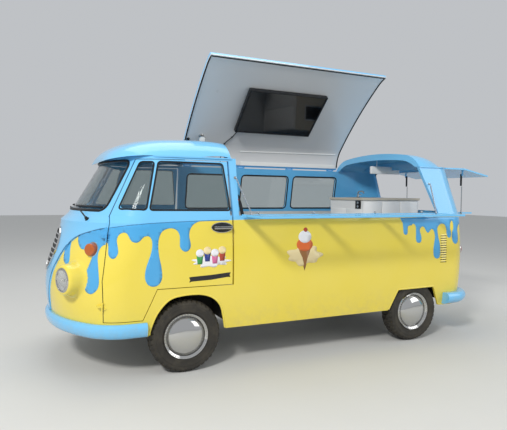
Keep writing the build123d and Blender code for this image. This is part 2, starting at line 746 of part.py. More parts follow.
def rear_axle():
    x, z = axle_x["rear"], tyre_radius
    tube = rod((x, -(wheel_plane - 7), z), (x, wheel_plane - 7, z), 38)
    casing = Pos(x, 0, z) * Box(300, 300, 170)
    stubs = rod((x, -(wheel_plane + 8), z), (x, wheel_plane + 8, z), spindle_radius)
    return tube + casing + stubs + both(block(x - 30, x + 30, *rail_y, z, rail_z))


def floor_pan():
    plate = room_inside & block(-2400, 2400, -far_out, far_out, floor_z, floor_z + floor_thick)
    for axle, reach_in in house_reach.items():
        x = axle_x[axle]
        grow = house_half + seat_gap
        for s in (-1, 1):
            y0, y1 = sorted((s * (reach_in - seat_gap), s * far_out))
            plate -= block(x - grow, x + grow, y0, y1, 0, floor_z + 60)
    return plate


def wheel_houses():
    houses = []
    for axle, reach_in in house_reach.items():
        x, low = axle_x[axle], house_half - house_wall
        shut = block(x - house_half, x + house_half, reach_in, far_out, floor_z, house_top)
        room = block(x - low, x + low, reach_in + house_wall, far_out, floor_z - 20, house_top - house_wall)
        house = room_inside & (shut - room)
        houses += [house, mirrored(house)]
    return Compound(children=houses)


def underframe():
    frame = both(block(-1850, 1450, *rail_y, rail_z, floor_z))
    for x in (-1700, -500, 200, 800):
        frame = frame + block(x, x + 50, -rail_y[0], rail_y[0], rail_z, floor_z)
    return frame


def motor():
    return block(1480, 1880, -300, 300, floor_z - 130, floor_z)


def bumper(front):
    """Rounded blade that hugs the end of the body."""
    wires = [plan_wire(z, *low_section(z), -reach) for z, reach in (front_bumper if front else rear_bumper)]
    bar = Solid.make_loft(wires) - skin_room
    if front:
        return bar & block(-2400, bumper_ends[0], -far_out, far_out, 0, 600)
    return bar & block(bumper_ends[1], 2300, -far_out, far_out, 0, 600)


def headlamps():
    """Lens and rim, turned about the lamp's axis."""
    r = headlamp_radius
    profile = [(0, 30), (r * 0.5, 25), (r - 8, 9), (r - 4, 14), (r + 2, 14), (r + 9, 6), (r + 9, 0), (0, 0)]
    turned = revolve(make_face(Plane.XZ * Polyline(profile, close=True)), Axis.Z)
    lamp = Plane(origin=headlamp_at, z_dir=headlamp_axis() * -1).location * turned
    return pair(lamp)


def indicators():
    lamp = rod((-1890, -652, 1026), (-1953, -704, 1026), 50)
    return pair(fillet(lamp.edges().filter_by(GeomType.CIRCLE).sort_by(Axis.X)[0], 16) - skin_room)


def tail_lamps():
    lamp = rod((1790, -670, 900), (1975, -792, 900), 56)
    return pair(lamp - skin_room)


def nose_skin(grow):
    """The nose with its raised V, grown by a thickness."""
    return Solid.make_loft([plan_wire(*s, -rise - grow) for s, rise in zip(lower_sections, v_rise)])


def emblem():
    """Plain round grille ring on the nose."""
    outer_radius, inner_radius = emblem_radii
    ring = rod((-2240, 0, emblem_z), (-2100, 0, emblem_z), outer_radius)
    ring -= rod((-2250, 0, emblem_z), (-2090, 0, emblem_z), inner_radius)
    return (ring & nose_skin(emblem_thick)) - nose_skin(seat_gap)


def windscreen():
    pane = glass_ring() & screen_prism(-1.0)
    return pane & block(-2400, -1400, -far_out, far_out, belt_z, gutter_z)


def side_glass():
    ring = glass_ring()
    panes = []
    for x0, x1 in side_windows:
        panes.append(ring & side_window(x0, x1, seat_gap))
    return Compound(children=panes)


def door_glass(side):
    ring = glass_ring()
    panes = []
    for outline in (vent_window, door_window):
        panes.append(ring & side_prism(grown(outline, -seat_gap), -far_out, -560, window_corner - seat_gap))
    panes = Compound(children=panes)
    return panes if side == "left" else mirrored(panes)


def seat_base():
    """Box under the cab's bench, wider above the wheel houses."""
    x0, x1 = seat_x
    base = block(x0, x1, -500, 500, floor_z + floor_thick, seat_base_top)
    return base + block(x0, x1, -seat_half, seat_half, house_top + seat_gap, seat_base_top)


def seat_cushions():
    """Cushion and back of the bench."""
    x0, x1 = seat_x
    low = seat_base_top + seat_gap
    cushion = block(x0 - 100, x1, -seat_half, seat_half, low, low + seat_soft)
    foot = low + seat_soft + seat_gap
    profile = ((x1 - 40, foot), (x1 + 40, foot), (x1 + 80, seat_back_top), (x1 + 10, seat_back_top))
    back = side_prism(profile, -seat_half, seat_half)
    return Compound(children=[fillet(cushion.edges(), seat_soft / 4), fillet(back.edges(), seat_soft / 4)])


def dashboard():
    return room_inside & block(-2300, -1880, -far_out, far_out, waist_z - 22, waist_z - 4)


def steering_wheel():
    foot_z = floor_z + floor_thick + seat_gap
    column = rod((-1850, -400, foot_z + 7), (-1640, -400, 1120), 22)
    plane = Plane(origin=(-1640, -400, 1120), z_dir=Vector(210, 0, 1120 - foot_z).normalized())
    rim = plane * Torus(200, 11)
    bar = plane * Box(400, 26, 10)
    return column + rim + bar


def counter():
    x0, x1, y0, y1 = counter_box
    return block(x0, x1, y0, y1, floor_z + floor_thick, counter_top_z - counter_top_thick)


def counter_top():
    x0, x1, y0, y1 = counter_box
    return block(x0 - 12, x1 + 12, y0 - 12, y1 + 12, counter_top_z - counter_top_thick, counter_top_z)


def rear_shelf():
    x0, z0 = rear_shelf_hinge[0], rear_shelf_hinge[2]
    low = z0 + rear_shelf_rise
    plate = block(x0, x0 + rear_shelf_reach, -rear_shelf_half, rear_shelf_half, low, low + rear_shelf_thick)
    x, z = shelf_pivot
    for s in (-1, 1):
        plate = plate + rod((x, s * (rear_shelf_half - 1), z), (x, s * (strut_y + 14), z), strut_pin)
    return cross_hinge(plate, rear_shelf_hinge, rear_shelf_rise, rear_shelf_thick, rear_shelf_hinge_y)


def cross_hinge(plate, hinge, rise, thick, places):
    """Notch a plate's front edge round the body's barrels and add its own barrels beside them."""
    x, z = hinge[0], hinge[2]
    for y in places:
        half = barrel_length / 2 + barrel_play
        plate -= block(x - 1, x + 30, y - half, y + half, z + rise - 1, z + rise + thick + 1)
        for start in (y - half - barrel_length / 2, y + half):
            plate = plate + rod((x, start, z), (x, start + barrel_length / 2, z), barrel_radius)
            plate = plate + block(x, x + 24, start, start + barrel_length / 2, z, z + rise + 1)
    return plate


def cross_lugs(hinge, places, rise=0.0):
    """Barrels of a hinge across the body, on leaves that start at its skin."""
    x, z = hinge[0], hinge[2]
    lugs = []
    for y in places:
        half = barrel_length / 2
        leaf = block(x - 160, x, y - half, y + half, z + rise - barrel_radius, z + rise)
        lugs.append(rod((x, y - half, z), (x, y + half, z), barrel_radius) + (leaf - body_solid))
    return lugs


def hatch_struts():
    """Upper halves of the struts, hung from the hatch."""
    x, z = strut_pivot()
    stem = rod((x, -strut_y, z - strut_head), (x, -strut_y, z - strut_eye + 3), strut_head_radius)
    eye = rod((x, -strut_y - 7, z), (x, -strut_y + 7, z), strut_eye)
    return pair(stem + eye - rod((x, -strut_y - 20, z), (x, -strut_y + 20, z), strut_pin + pin_play))


def shelf_struts():
    """Lower halves of the struts, stood on the sides of the rear shelf."""
    x, z = shelf_pivot
    top = strut_pivot()[1] - strut_head - strut_meet
    stem = rod((x, -strut_y, z + strut_eye - 3), (x, -strut_y, top), strut_radius)
    eye = rod((x, -strut_y - 6, z), (x, -strut_y + 6, z), strut_eye)
    return pair(stem + eye - rod((x, -strut_y - 20, z), (x, -strut_y + 20, z), strut_pin + pin_play))


def flap_screen():
    """Display on the liner, in the flap's own closed pose, then opened with it."""
    under = crown_z - roof_wall - liner
    x0, x1, y0, y1 = display
    panel = block(x0, x1, y0, y1, under - display_drop - display_thick, under - display_drop)
    depth = roof_wall + liner + seat_gap
    space = [roof_section(x, half_gutter, gutter_z + 6, crown_z, depth) for x in (-400, 600)]
    middle = (x0 + x1) / 2
    bracket = block(middle - 100, middle + 100, -60, 60, under - display_drop - 1, under + 5)
    return opened_flap(panel + (bracket & Solid.make_loft(space, True)))


pieces = {
    "nose_panel": nose_panel(),
    "front_arches": front_arches(),
    "cab_frame": cab_frame(),
    "left_side": left_side(),
    "right_side": right_side(),
    "rear_end": rear_end(),
    "motor_lid": motor_lid(),
    "cab_roof": cab_roof(),
    "rear_roof": rear_roof(),
    "floor_pan": floor_pan(),
    "wheel_houses": wheel_houses(),
    "underframe": underframe(),
    "motor": motor(),
    "front_axle": front_axle(),
    "rear_axle": rear_axle(),
    "front_bumper": bumper(True),
    "rear_bumper": bumper(False),
    "headlamps": headlamps(),
    "indicators": indicators(),
    "tail_lamps": tail_lamps(),
    "nose_emblem": emblem(),
    "windscreen": windscreen(),
    "side_glass": side_glass(),
    "seat_base": seat_base(),
    "seat_cushions": seat_cushions(),
    "dashboard": dashboard(),
    "steering_wheel": steering_wheel(),
    "counter": counter(),
    "counter_top": counter_top(),
    "roof_flap": opened_flap(flap_skin()),
    "flap_liner": opened_flap(flap_solid(roof_wall + seat_gap, roof_wall + liner)),
    "flap_screen": flap_screen(),
    "side_shelf": side_shelf(),
    "shelf_panes": shelf_panes(),
    "rear_hatch": hatch(),
    "hatch_struts": hatch_struts(),
    "shelf_struts": shelf_struts(),
    "rear_shelf": rear_shelf(),
}
for side in sides:
    pieces[f"door_{side}"] = door(side)
    pieces[f"door_glass_{side}"] = door_glass(side)
    pieces[f"knuckle_{side}"] = knuckle(side)
    for axle in axle_x:
        pieces[f"tyre_{axle}_{side}"] = tyre(side, axle)
        pieces[f"wheel_{axle}_{side}"] = wheel(side, axle)

os.makedirs("parts", exist_ok=True)
for name, shape in pieces.items():
    export_step(shape, f"parts/{name}.step")
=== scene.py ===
import math
import bmesh
import bpy
from mathutils import Matrix, Vector
from mathutils.bvhtree import BVHTree
from mathutils.geometry import delaunay_2d_cdt


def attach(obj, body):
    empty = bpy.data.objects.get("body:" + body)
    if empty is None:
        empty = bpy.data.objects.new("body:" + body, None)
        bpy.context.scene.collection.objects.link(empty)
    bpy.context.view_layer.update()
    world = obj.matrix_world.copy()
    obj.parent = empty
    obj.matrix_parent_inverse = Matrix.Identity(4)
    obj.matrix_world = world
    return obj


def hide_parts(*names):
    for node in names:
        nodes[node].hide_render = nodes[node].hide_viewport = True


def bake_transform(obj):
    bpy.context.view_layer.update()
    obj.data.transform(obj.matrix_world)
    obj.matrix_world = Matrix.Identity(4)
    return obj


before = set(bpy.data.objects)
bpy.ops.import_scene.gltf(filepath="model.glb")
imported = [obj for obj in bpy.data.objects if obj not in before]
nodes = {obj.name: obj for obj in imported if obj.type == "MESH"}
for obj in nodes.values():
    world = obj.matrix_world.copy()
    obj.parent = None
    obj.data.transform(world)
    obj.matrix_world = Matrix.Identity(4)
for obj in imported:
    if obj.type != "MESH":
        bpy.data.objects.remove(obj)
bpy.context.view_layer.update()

scene = bpy.context.scene
scene.view_settings.view_transform = "Standard"

# The nose is at -X, the serving side at -Y. Lengths are in metres. A flip of -1 mirrors to the far side
SIDES = (("left", 1), ("right", -1))
UP = Vector((0, 0, 1))


def pairs(*values):
    """(a, b) pairs in metres from a row of millimetres."""
    metres = [v / 1000 for v in values]
    return list(zip(metres[::2], metres[1::2]))


def srgb(hex_colour):
    """Linear colour of a hex code."""
    def lin(v):
        v /= 255.0
        return v / 12.92 if v <= 0.04045 else ((v + 0.055) / 1.055) ** 2.4
    return tuple(lin(int(hex_colour[i:i + 2], 16)) for i in (0, 2, 4)) + (1.0,)


YELLOW = srgb("E8D23F")
BLUE = srgb("6CBFEF")
# DRIP is darker than BLUE: partly the drips' own vinyl colour, partly painted shade of the lower panels,
# which face away from the sky
DRIP = srgb("3AA0DA")

# Front-view line of the raised V (|y|, z), the belt line along the sides (x, z), and the shut line between
# nose and front doors, x = SHUT_X + SHUT_LEAN * z
V_LINE = pairs(110, 455, 152, 529, 241, 808, 287, 897, 325, 976, 382, 1050, 484, 1119, 633, 1168,
               749, 1200, 860, 1215)
V_EDGE = 0.009
BELT = pairs(-2300, 1196, -1813, 1199, -1660, 1222, -1508, 1234, -1181, 1246, -1009, 1250, -794, 1252,
             -600, 1257, 1000, 1257, 2100, 1257)
SHUT_X, SHUT_LEAN = -1.9766, 0.1415


class Tree:
    """Short helper for a node material."""

    def __init__(self, name):
        self.mat = bpy.data.materials.new(name)
        self.mat.use_nodes = True
        self.nt = self.mat.node_tree
        self.bsdf = self.nt.nodes["Principled BSDF"]
        self.obj = self.nt.nodes.new("ShaderNodeTexCoord").outputs["Object"]

    def put(self, socket, value):
        if isinstance(value, bpy.types.NodeSocket):
            self.nt.links.new(value, socket)
        elif hasattr(socket.default_value, "__len__") and not hasattr(value, "__len__"):
            socket.default_value = (value,) * len(socket.default_value)
        else:
            socket.default_value = value

    def node(self, kind, out=0, settings=None, **inputs):
        """New node; i0, i1 … name an input by its number."""
        n = self.nt.nodes.new(kind)
        for k, v in (settings or {}).items():
            setattr(n, k, v)
        for k, v in inputs.items():
            self.put(n.inputs[int(k[1:]) if k[0] == "i" else k], v)
        return n.outputs[out]

    def noise(self, scale, detail=3.0, rough=0.5, stretch=(1, 1, 1)):
        at = self.node("ShaderNodeVectorMath", settings={"operation": "MULTIPLY"}, i0=self.obj, i1=stretch)
        return self.node("ShaderNodeTexNoise", Vector=at, Scale=scale, Detail=detail, Roughness=rough)

    def ramp(self, value, stops):
        n = self.nt.nodes.new("ShaderNodeValToRGB")
        for item, (place, grey) in zip(n.color_ramp.elements, stops):
            item.position = place
            item.color = (grey, grey, grey, 1)
        self.nt.links.new(value, n.inputs[0])
        return n.outputs[0]

    def curve(self, value, points, floor, span):
        """Value mapped through a polyline of (x, y), y in floor..floor+span."""
        low, high = points[0][0], points[-1][0]
        n = self.nt.nodes.new("ShaderNodeFloatCurve")
        c = n.mapping.curves[0]
        while len(c.points) < len(points):
            c.points.new(0.5, 0.5)
        for item, (x, y) in zip(c.points, points):
            item.location = ((x - low) / (high - low), (y - floor) / span)
            item.handle_type = "VECTOR"
        n.mapping.update()
        at = self.math("DIVIDE", self.minus(value, low), high - low, True)
        self.nt.links.new(at, n.inputs["Value"])
        return self.plus(self.times(n.outputs[0], span), floor)

    def mix(self, share, a, b):
        n = self.nt.nodes.new("ShaderNodeMix")
        n.data_type = "RGBA"
        for socket, value in zip((0, 6, 7), (share, a, b)):
            self.put(n.inputs[socket], value)
        return n.outputs[2]

    def math(self, op, a, b=0.0, clamp=False):
        return self.node("ShaderNodeMath", settings={"operation": op, "use_clamp": clamp}, i0=a, i1=b)

    def plus(self, a, b):
        return self.math("ADD", a, b)

    def minus(self, a, b):
        return self.math("SUBTRACT", a, b)

    def times(self, a, b, clamp=False):
        return self.math("MULTIPLY", a, b, clamp)

    def xyz(self, axis):
        return self.node("ShaderNodeSeparateXYZ", axis, Vector=self.obj)

    def bump(self, height, strength, distance):
        n = self.node("ShaderNodeBump", Height=height, Strength=strength, Distance=distance)
        self.nt.links.new(n, self.bsdf.inputs["Normal"])

    def set(self, **values):
        names = {"color": "Base Color", "rough": "Roughness", "metal": "Metallic", "coat": "Coat Weight",
                 "coat_rough": "Coat Roughness", "ior": "IOR", "transmission": "Transmission Weight"}
        for k, v in values.items():
            self.put(self.bsdf.inputs[names[k]], v)


def paint(name, colour, second=None, rough=0.24, coat=0.6, dusty=1.0):
    """Gloss car paint: mottling, orange peel, road dust low down, and a second colour above the belt."""
    t = Tree(name)
    base = colour
    if second is not None:
        x, y, z = (t.xyz(axis) for axis in range(3))
        side = t.curve(x, BELT, 1.1, 0.3)
        nose = t.curve(t.minus(t.math("ABSOLUTE", y), V_EDGE), V_LINE, 0.2, 1.2)
        ahead = t.math("LESS_THAN", x, -1.5)
        line = t.math("MINIMUM", t.minus(side, t.times(ahead, t.minus(side, nose))), side)
        # The drips run on across the edges of the shut line
        from_shut = t.math("ABSOLUTE", t.minus(t.minus(x, t.times(z, SHUT_LEAN)), SHUT_X))
        edge = t.times(t.math("LESS_THAN", from_shut, 0.013), t.math("GREATER_THAN", z, 1.085))
        base = t.mix(t.times(t.minus(z, line), 900.0, True), t.mix(edge, colour, DRIP), second)
    base = t.mix(t.times(t.noise(2.3, 4.0), 0.06), base, (0.95, 0.97, 1.0, 1))
    low = t.ramp(t.xyz(2), ((0.30, 1.0), (0.60, 0.0)))
    dust = t.times(low, t.ramp(t.noise(14.0, 6.0, 0.65), ((0.42, 0.0), (0.78, 0.32 * dusty))))
    t.set(color=t.mix(dust, base, srgb("A99C7E")), coat=coat, coat_rough=0.05)
    t.set(rough=t.plus(t.times(t.noise(35.0, 3.0), 0.10), rough - 0.05))
    t.bump(t.noise(420.0, 2.0), 0.03, 0.0005)
    return t.mat


def metal(name, colour, rough, stretch=(1, 1, 1)):
    t = Tree(name)
    wear = t.noise(60.0, 5.0, 0.6)
    t.set(color=t.mix(t.times(wear, 0.15), colour, (0.5, 0.5, 0.5, 1)), metal=1.0)
    t.set(rough=t.plus(t.times(wear, 0.08), rough))
    t.bump(t.noise(300.0, 3.0, stretch=stretch), 0.03, 0.0004)
    return t.mat


def plain(name, colour, rough, variation=0.25, scale=40.0, bump=0.1, coat=0.0):
    t = Tree(name)
    colour = srgb(colour)
    n = t.noise(scale, 5.0, 0.6)
    dark = tuple(c * (1 - variation) for c in colour[:3]) + (1,)
    t.set(color=t.mix(n, dark, colour), coat=coat)
    t.set(rough=t.plus(t.times(n, 0.15), rough - 0.07))
    t.bump(t.noise(scale * 9, 3.0), bump, 0.0008)
    return t.mat


def glass(name, tint, rough=0.03, ior=1.45, coat=0.0):
    """Clear pane with a few smears."""
    t = Tree(name)
    t.set(color=tint, transmission=1.0, ior=ior, coat=coat, rough=t.times(t.noise(9.0, 4.0), rough))
    return t.mat


def inner_board(name):
    """Inside of the walls: painted steel above the belt, pale ribbed board below."""
    t = Tree(name)
    above = t.times(t.minus(t.xyz(2), 1.262), 400.0, True)
    cloud = t.noise(3.0, 3.0)
    board = t.mix(cloud, srgb("C9CCCB"), srgb("DCDDDB"))
    t.set(color=t.mix(above, board, t.mix(cloud, srgb("5AAEE3"), srgb("68BAEA"))), coat=0.3)
    t.set(rough=t.plus(t.times(t.noise(30.0), 0.2), 0.3))
    rib = t.node("ShaderNodeTexWave", 1, {"bands_direction": "X"}, Vector=t.obj, Scale=4.0, Distortion=0.0)
    t.bump(t.times(t.math("GREATER_THAN", rib, 0.92), t.minus(1.0, above)), 0.25, 0.002)
    return t.mat


def tyre_side(name):
    """Rubber with dusty flanks."""
    t = Tree(name)
    n = t.noise(26.0, 6.0, 0.65)
    dust = t.ramp(t.noise(9.0, 5.0, 0.6), ((0.45, 0.0), (0.8, 0.5)))
    t.set(color=t.mix(dust, t.mix(n, srgb("24221F"), srgb("3B3832")), srgb("5C5547")))
    t.set(rough=t.plus(t.times(n, 0.2), 0.62))
    t.bump(t.noise(260.0, 4.0), 0.35, 0.0012)
    return t.mat


two_tone = paint("paint_two_tone", YELLOW, BLUE)
blue = paint("paint_blue", BLUE)
# The drips' darker blue is partly their vinyl's colour and partly painted shade
drip_blue_shaded = paint("vinyl_drip_shaded", DRIP, rough=0.3, coat=0.35, dusty=0.4)
# The crease beads' dark blue is painted shade along the belt and the V
crease_shade_blue = paint("crease_shade", srgb("2C6E9C"), rough=0.45, coat=0.1)
inner = inner_board("wall_lining")
chrome = metal("chrome", (0.6, 0.597, 0.585, 1), 0.06)
aluminium = metal("aluminium", (0.72, 0.74, 0.76, 1), 0.28, (1, 1, 12))
rubber = tyre_side("tyre_rubber")
seal = plain("seal_rubber", "17181A", 0.5, 0.25, 90.0, 0.15)
black = plain("black_steel", "1C1D1F", 0.55, 0.3)
grime = plain("underbody_grime", "2C2A27", 0.8, 0.45, 12.0, 0.5)
liner_white = plain("liner_white", "DCDDDE", 0.3, 0.05, 3.0, 0.02, 0.25)
lamp_white = plain("enamel_white", "EDEEEC", 0.3, 0.04, 8.0, 0.03, 0.3)
counter_white = plain("counter_laminate", "ECEDEC", 0.32, 0.04, 8.0, 0.03, 0.2)
top_beige = plain("counter_top", "CFC7B6", 0.3, 0.18, 70.0, 0.04, 0.2)
vinyl = plain("seat_vinyl", "4B4F55", 0.45, 0.2, 220.0, 0.35)
screen_black = plain("screen_black", "07090C", 0.08, 0.2, 20.0, 0.005, 0.9)
plastic = plain("black_plastic", "15161A", 0.42, 0.2, 120.0, 0.12)
amber = plain("amber_lens", "C2611C", 0.14, 0.35, 90.0, 0.35, 0.8)
red = plain("red_lens", "A3140F", 0.14, 0.3, 90.0, 0.35, 0.8)
pane = glass("window_glass", (0.56, 0.62, 0.62, 1))
acrylic = plain("shelf_acrylic", "E6EEF2", 0.12, 0.05, 6.0, 0.01, 0.3)
acrylic.node_tree.nodes["Principled BSDF"].inputs["Alpha"].default_value = 0.16
lens = glass("lamp_glass", (0.98, 0.98, 0.96, 1), 0.05, 1.13, 1.0)
mirror = metal("lamp_mirror", (0.88, 0.89, 0.9, 1), 0.05)

# Slot names by material, liner_white for the rest
SLOTS = {material.name: slot for slot, materials in (
    ("body_yellow", (two_tone,)), ("body_blue", (drip_blue_shaded, crease_shade_blue)), ("chrome", (chrome, mirror)),
    ("black_plastic", (seal, black, plastic, screen_black)), ("tyre", (rubber,)), ("steel", (aluminium,)),
    ("red_lens", (red,)), ("lamp_glass", (lens,)), ("seat_vinyl", (vinyl,)),
    ("counter_white", (counter_white,))) for material in materials}

# The near side is unrolled: u is x along the middle, and a distance round a corner beyond either end of it
NOSE_END, NOSE_BEND = -1.45, 0.57
TAIL_START, TAIL_BEND = 1.5, 0.47


def radial(u):
    """Place on the spine and outward direction for a distance u along the near side."""
    if u < NOSE_END:
        a = (NOSE_END - u) / NOSE_BEND
        return Vector((NOSE_END, -0.30, 0)), Vector((-math.sin(a), -math.cos(a), 0))
    if u > TAIL_START:
        a = (u - TAIL_START) / TAIL_BEND
        return Vector((TAIL_START, -0.40, 0)), Vector((math.sin(a), -math.cos(a), 0))
    return Vector((u, -0.30, 0)), Vector((0, -1, 0))


def search(*names, moved=None):
    """Ray-cast tree of CAD nodes, moved by a matrix where given."""
    bm = bmesh.new()
    for name in names:
        bm.from_mesh(nodes[name].data)
    if moved is not None:
        bmesh.ops.transform(bm, matrix=moved, verts=bm.verts)
    found = BVHTree.FromBMesh(bm)
    bm.free()
    return found


def cast(tree, start, along, reach=6.0):
    """First point of a surface along a ray, and the normal that faces back."""
    along = Vector(along).normalized()
    hit, normal, _, _ = tree.ray_cast(Vector(start), along, reach)
    if hit is None:
        raise ValueError(f"no surface from {tuple(start)}")
    return hit, (normal if normal.dot(along) < 0 else -normal)


def skin_point(tree, u, z, lift=0.0):
    """Point of the near side's skin at u and z, lifted off it, and its normal."""
    centre, out = radial(u)
    for nudge in (0.0, 0.0015, -0.0015, 0.004, -0.004):
        hit, normal, _, _ = tree.ray_cast(centre + out * 2.5 + UP * (z + nudge), -out, 2.4)
        if hit is not None:
            normal = -normal if normal.dot(out) < 0 else normal
            return hit + normal * lift, normal
    raise ValueError(f"no skin at {u:.3f}, {z:.3f}")


def over(v, flip):
    """A near-side vector, or its mirror image where flip is -1."""
    return Vector((v[0], v[1] * flip, v[2]))


def smooth_line(points, steps=5):
    """Catmull-Rom curve through points of any length."""
    last = len(points) - 1
    out = []
    for i in range(last):
        p = [points[min(max(i + k, 0), last)] for k in (-1, 0, 1, 2)]
        for s in range(steps):
            t = s / steps
            out.append(tuple(0.5 * (2 * b + (c - a) * t + (2 * a - 5 * b + 4 * c - d) * t * t
                                    + (3 * b - a - 3 * c + d) * t ** 3) for a, b, c, d in zip(*p)))
    return out + [tuple(points[-1])]


def add(name, bm, materials, body, angle=35.0, slot=None, recalc=True):
    """Finish a mesh piece: normals, soft and hard edges, materials and body; its slot is looked up but not
    kept.
    """
    if recalc:
        bmesh.ops.recalc_face_normals(bm, faces=bm.faces)
    for f in bm.faces:
        f.smooth = True
    for e in bm.edges:
        e.smooth = len(e.link_faces) == 2 and e.calc_face_angle(0.0) < math.radians(angle)
    mesh = bpy.data.meshes.new(name)
    bm.to_mesh(mesh)
    bm.free()
    obj = bpy.data.objects.new(name, mesh)
    scene.collection.objects.link(obj)
    materials = materials if isinstance(materials, tuple) else (materials,)
    for material in materials:
        mesh.materials.append(material)
    if body:
        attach(obj, body)
    slot or SLOTS.get(materials[0].name, "liner_white")
    return obj


def join(bm, rows, ring=True):
    """Faces between neighbouring rows of vertices; a row may be a single point."""
    for a, b in zip(rows, rows[1:]):
        n = max(len(a), len(b))
        for i in range(n if ring else n - 1):
            j = (i + 1) % n
            loop = [a[i % len(a)], a[j % len(a)], b[j % len(b)], b[i % len(b)]]
            loop = [v for k, v in enumerate(loop) if v not in loop[:k]]
            if len(loop) > 2:
                bm.faces.new(loop)


def loft_rings(bm, rings, closed=False):
    """Join closed rings of points with quads, and cap the ends unless the last joins the first."""
    bm = bmesh.new() if bm is None else bm
    rows = [[bm.verts.new(p) for p in ring] for ring in rings]
    join(bm, rows + rows[:1] if closed else rows)
    if not closed:
        for row in (rows[0], rows[-1]):
            bm.faces.new(row)
    return bm


def sweep(bm, points, section, closed=False, normals=None):
    """Carry a section of (across, up) pairs along points; up follows normals where given."""
    pts = [Vector(p) for p in points]
    n = len(pts)
    rings = []
    last = None
    for i, p in enumerate(pts):
        a = pts[(i - 1) % n] if closed or i else p
        b = pts[(i + 1) % n] if closed or i < n - 1 else p
        tangent = (b - a).normalized()
        if normals is not None:
            up = Vector(normals[i])
        else:
            up = last if last is not None else UP if abs(tangent.z) < 0.9 else Vector((1, 0, 0))
        up = (up - tangent * up.dot(tangent)).normalized()
        last = up
        across = tangent.cross(up)
        rings.append([p + across * s + up * r for s, r in section])
    return loft_rings(bm, rings, closed)


def follow(bm, spots, section, flip=1, closed=False, lift=0.0):
    """Sweep along (point, normal) spots of a surface."""
    path = [over(p + n * lift, flip) for p, n in spots]
    return sweep(bm, path, section, closed, [over(n, flip) for _, n in spots])


def disc(radius, count=10, squash=1.0):
    return [(radius * math.cos(2 * math.pi * i / count), radius * squash * math.sin(2 * math.pi * i / count))
            for i in range(count)]


def lathe(bm, profile, origin, axis, steps=48):
    """Turn (radius, along) pairs round an axis."""
    bm = bmesh.new() if bm is None else bm
    origin, axis = Vector(origin), Vector(axis).normalized()
    side = axis.orthogonal().normalized()
    other = axis.cross(side)
    join(bm, [[bm.verts.new(origin + axis * h + (side * x + other * y)) for x, y in
               (disc(r, steps) if r > 1e-6 else ((0.0, 0.0),))] for r, h in profile])
    return bm


def slab(bm, low, high, round_by=0.002, material=0, turn=None):
    """Block with rounded edges, turned by a matrix where given."""
    bm = bmesh.new() if bm is None else bm
    low, high = Vector(low), Vector(high)
    size = high - low
    before, faces_before = set(bm.verts), set(bm.faces)
    made = bmesh.ops.create_cube(bm, size=1.0)["verts"]
    bmesh.ops.scale(bm, vec=size, verts=made)
    edges = list({e for v in made for e in v.link_edges})
    bmesh.ops.bevel(bm, geom=edges, offset=min(round_by, 0.45 * min(size)), segments=2, profile=0.5,
                    affect="EDGES")
    for f in bm.faces:
        if f not in faces_before:
            f.material_index = material
    verts = [v for v in bm.verts if v not in before]
    bmesh.ops.translate(bm, vec=(low + high) / 2, verts=verts)
    if turn is not None:
        bmesh.ops.transform(bm, matrix=turn, verts=verts)
    return bm


def fill(outline, spacing):
    """Triangles that fill a flat outline, with inner points for a curved surface."""
    def steps(values):
        value = min(values) + spacing / 2
        while value < max(values):
            yield value
            value += spacing
    us, zs = zip(*outline)
    extra = [Vector((u, z)) for u in steps(us) for z in steps(zs)]
    points = [Vector(p) for p in outline] + extra
    verts, _, faces, *_ = delaunay_2d_cdt(points, [], [list(range(len(outline)))], 1, 1e-6)
    return verts, faces


def decal(name, outline, tree, body, material, lift=0.0012, spacing=0.03, flip=1):
    """Thin film on the skin, from an outline in (u, z), with a rim that reaches into the skin."""
    verts, faces = fill(outline, spacing)
    bm = bmesh.new()
    made, down = {}, {}
    for f in faces:
        for i in f:
            if i not in made:
                p, n = skin_point(tree, verts[i].x, verts[i].y, lift)
                made[i] = bm.verts.new(over(p, flip))
                down[made[i]] = over(p - n * (lift + 0.0004), flip)
    for f in faces:
        a, b, c = (made[i].co for i in f)
        outward = over(radial(verts[f[0]].x)[1], flip)
        bm.faces.new([made[i] for i in (f if (b - a).cross(c - a).dot(outward) > 0 else reversed(f))])
    rim = [e for e in bm.edges if len(e.link_faces) == 1]
    foot = {}
    for v in (v for e in rim for v in e.verts):
        if v not in foot:
            foot[v] = bm.verts.new(down[v])
    for e in rim:
        loop = e.link_loops[0]
        a, b = loop.vert, loop.link_loop_next.vert
        bm.faces.new((b, a, foot[a], foot[b]))
    return add(name, bm, material, body, recalc=False)


def bead(name, line, tree, body, material, radius, rise=0.0, flip=1, closed=False, flat=0.6):
    """Rounded moulding that follows (u, z) points on the skin."""
    spots = [skin_point(tree, u, z, rise) for u, z in line]
    return add(name, follow(None, spots, disc(radius, 8, flat), flip, closed), material, body, 60)


# Finishes of the CAD nodes
LOOK = (
    (two_tone, "nose_panel front_arches cab_frame left_side right_side rear_end door_left door_right"),
    (two_tone, "motor_lid"), (blue, "cab_roof rear_roof roof_flap rear_hatch side_shelf rear_shelf"),
    (blue, "front_bumper rear_bumper dashboard"), (chrome, "headlamps nose_emblem shelf_struts"),
    (black, "seat_base hatch_struts"), (plastic, "steering_wheel flap_screen"), (amber, "indicators"),
    (pane, "windscreen side_glass door_glass_left door_glass_right"), (liner_white, "flap_liner"),
    (grime, "front_axle rear_axle underframe wheel_houses motor"), (counter_white, "counter"),
    (top_beige, "counter_top"), (vinyl, "seat_cushions"), (red, "tail_lamps"), (aluminium, "floor_pan"),
    (acrylic, "shelf_panes"))
look = {name: material for material, names in LOOK for name in names.split()}
LINED = "cab_frame left_side right_side rear_end door_left door_right motor_lid nose_panel".split()
UPPER_HINGE = Vector((-1.830, -0.781, 1.130))
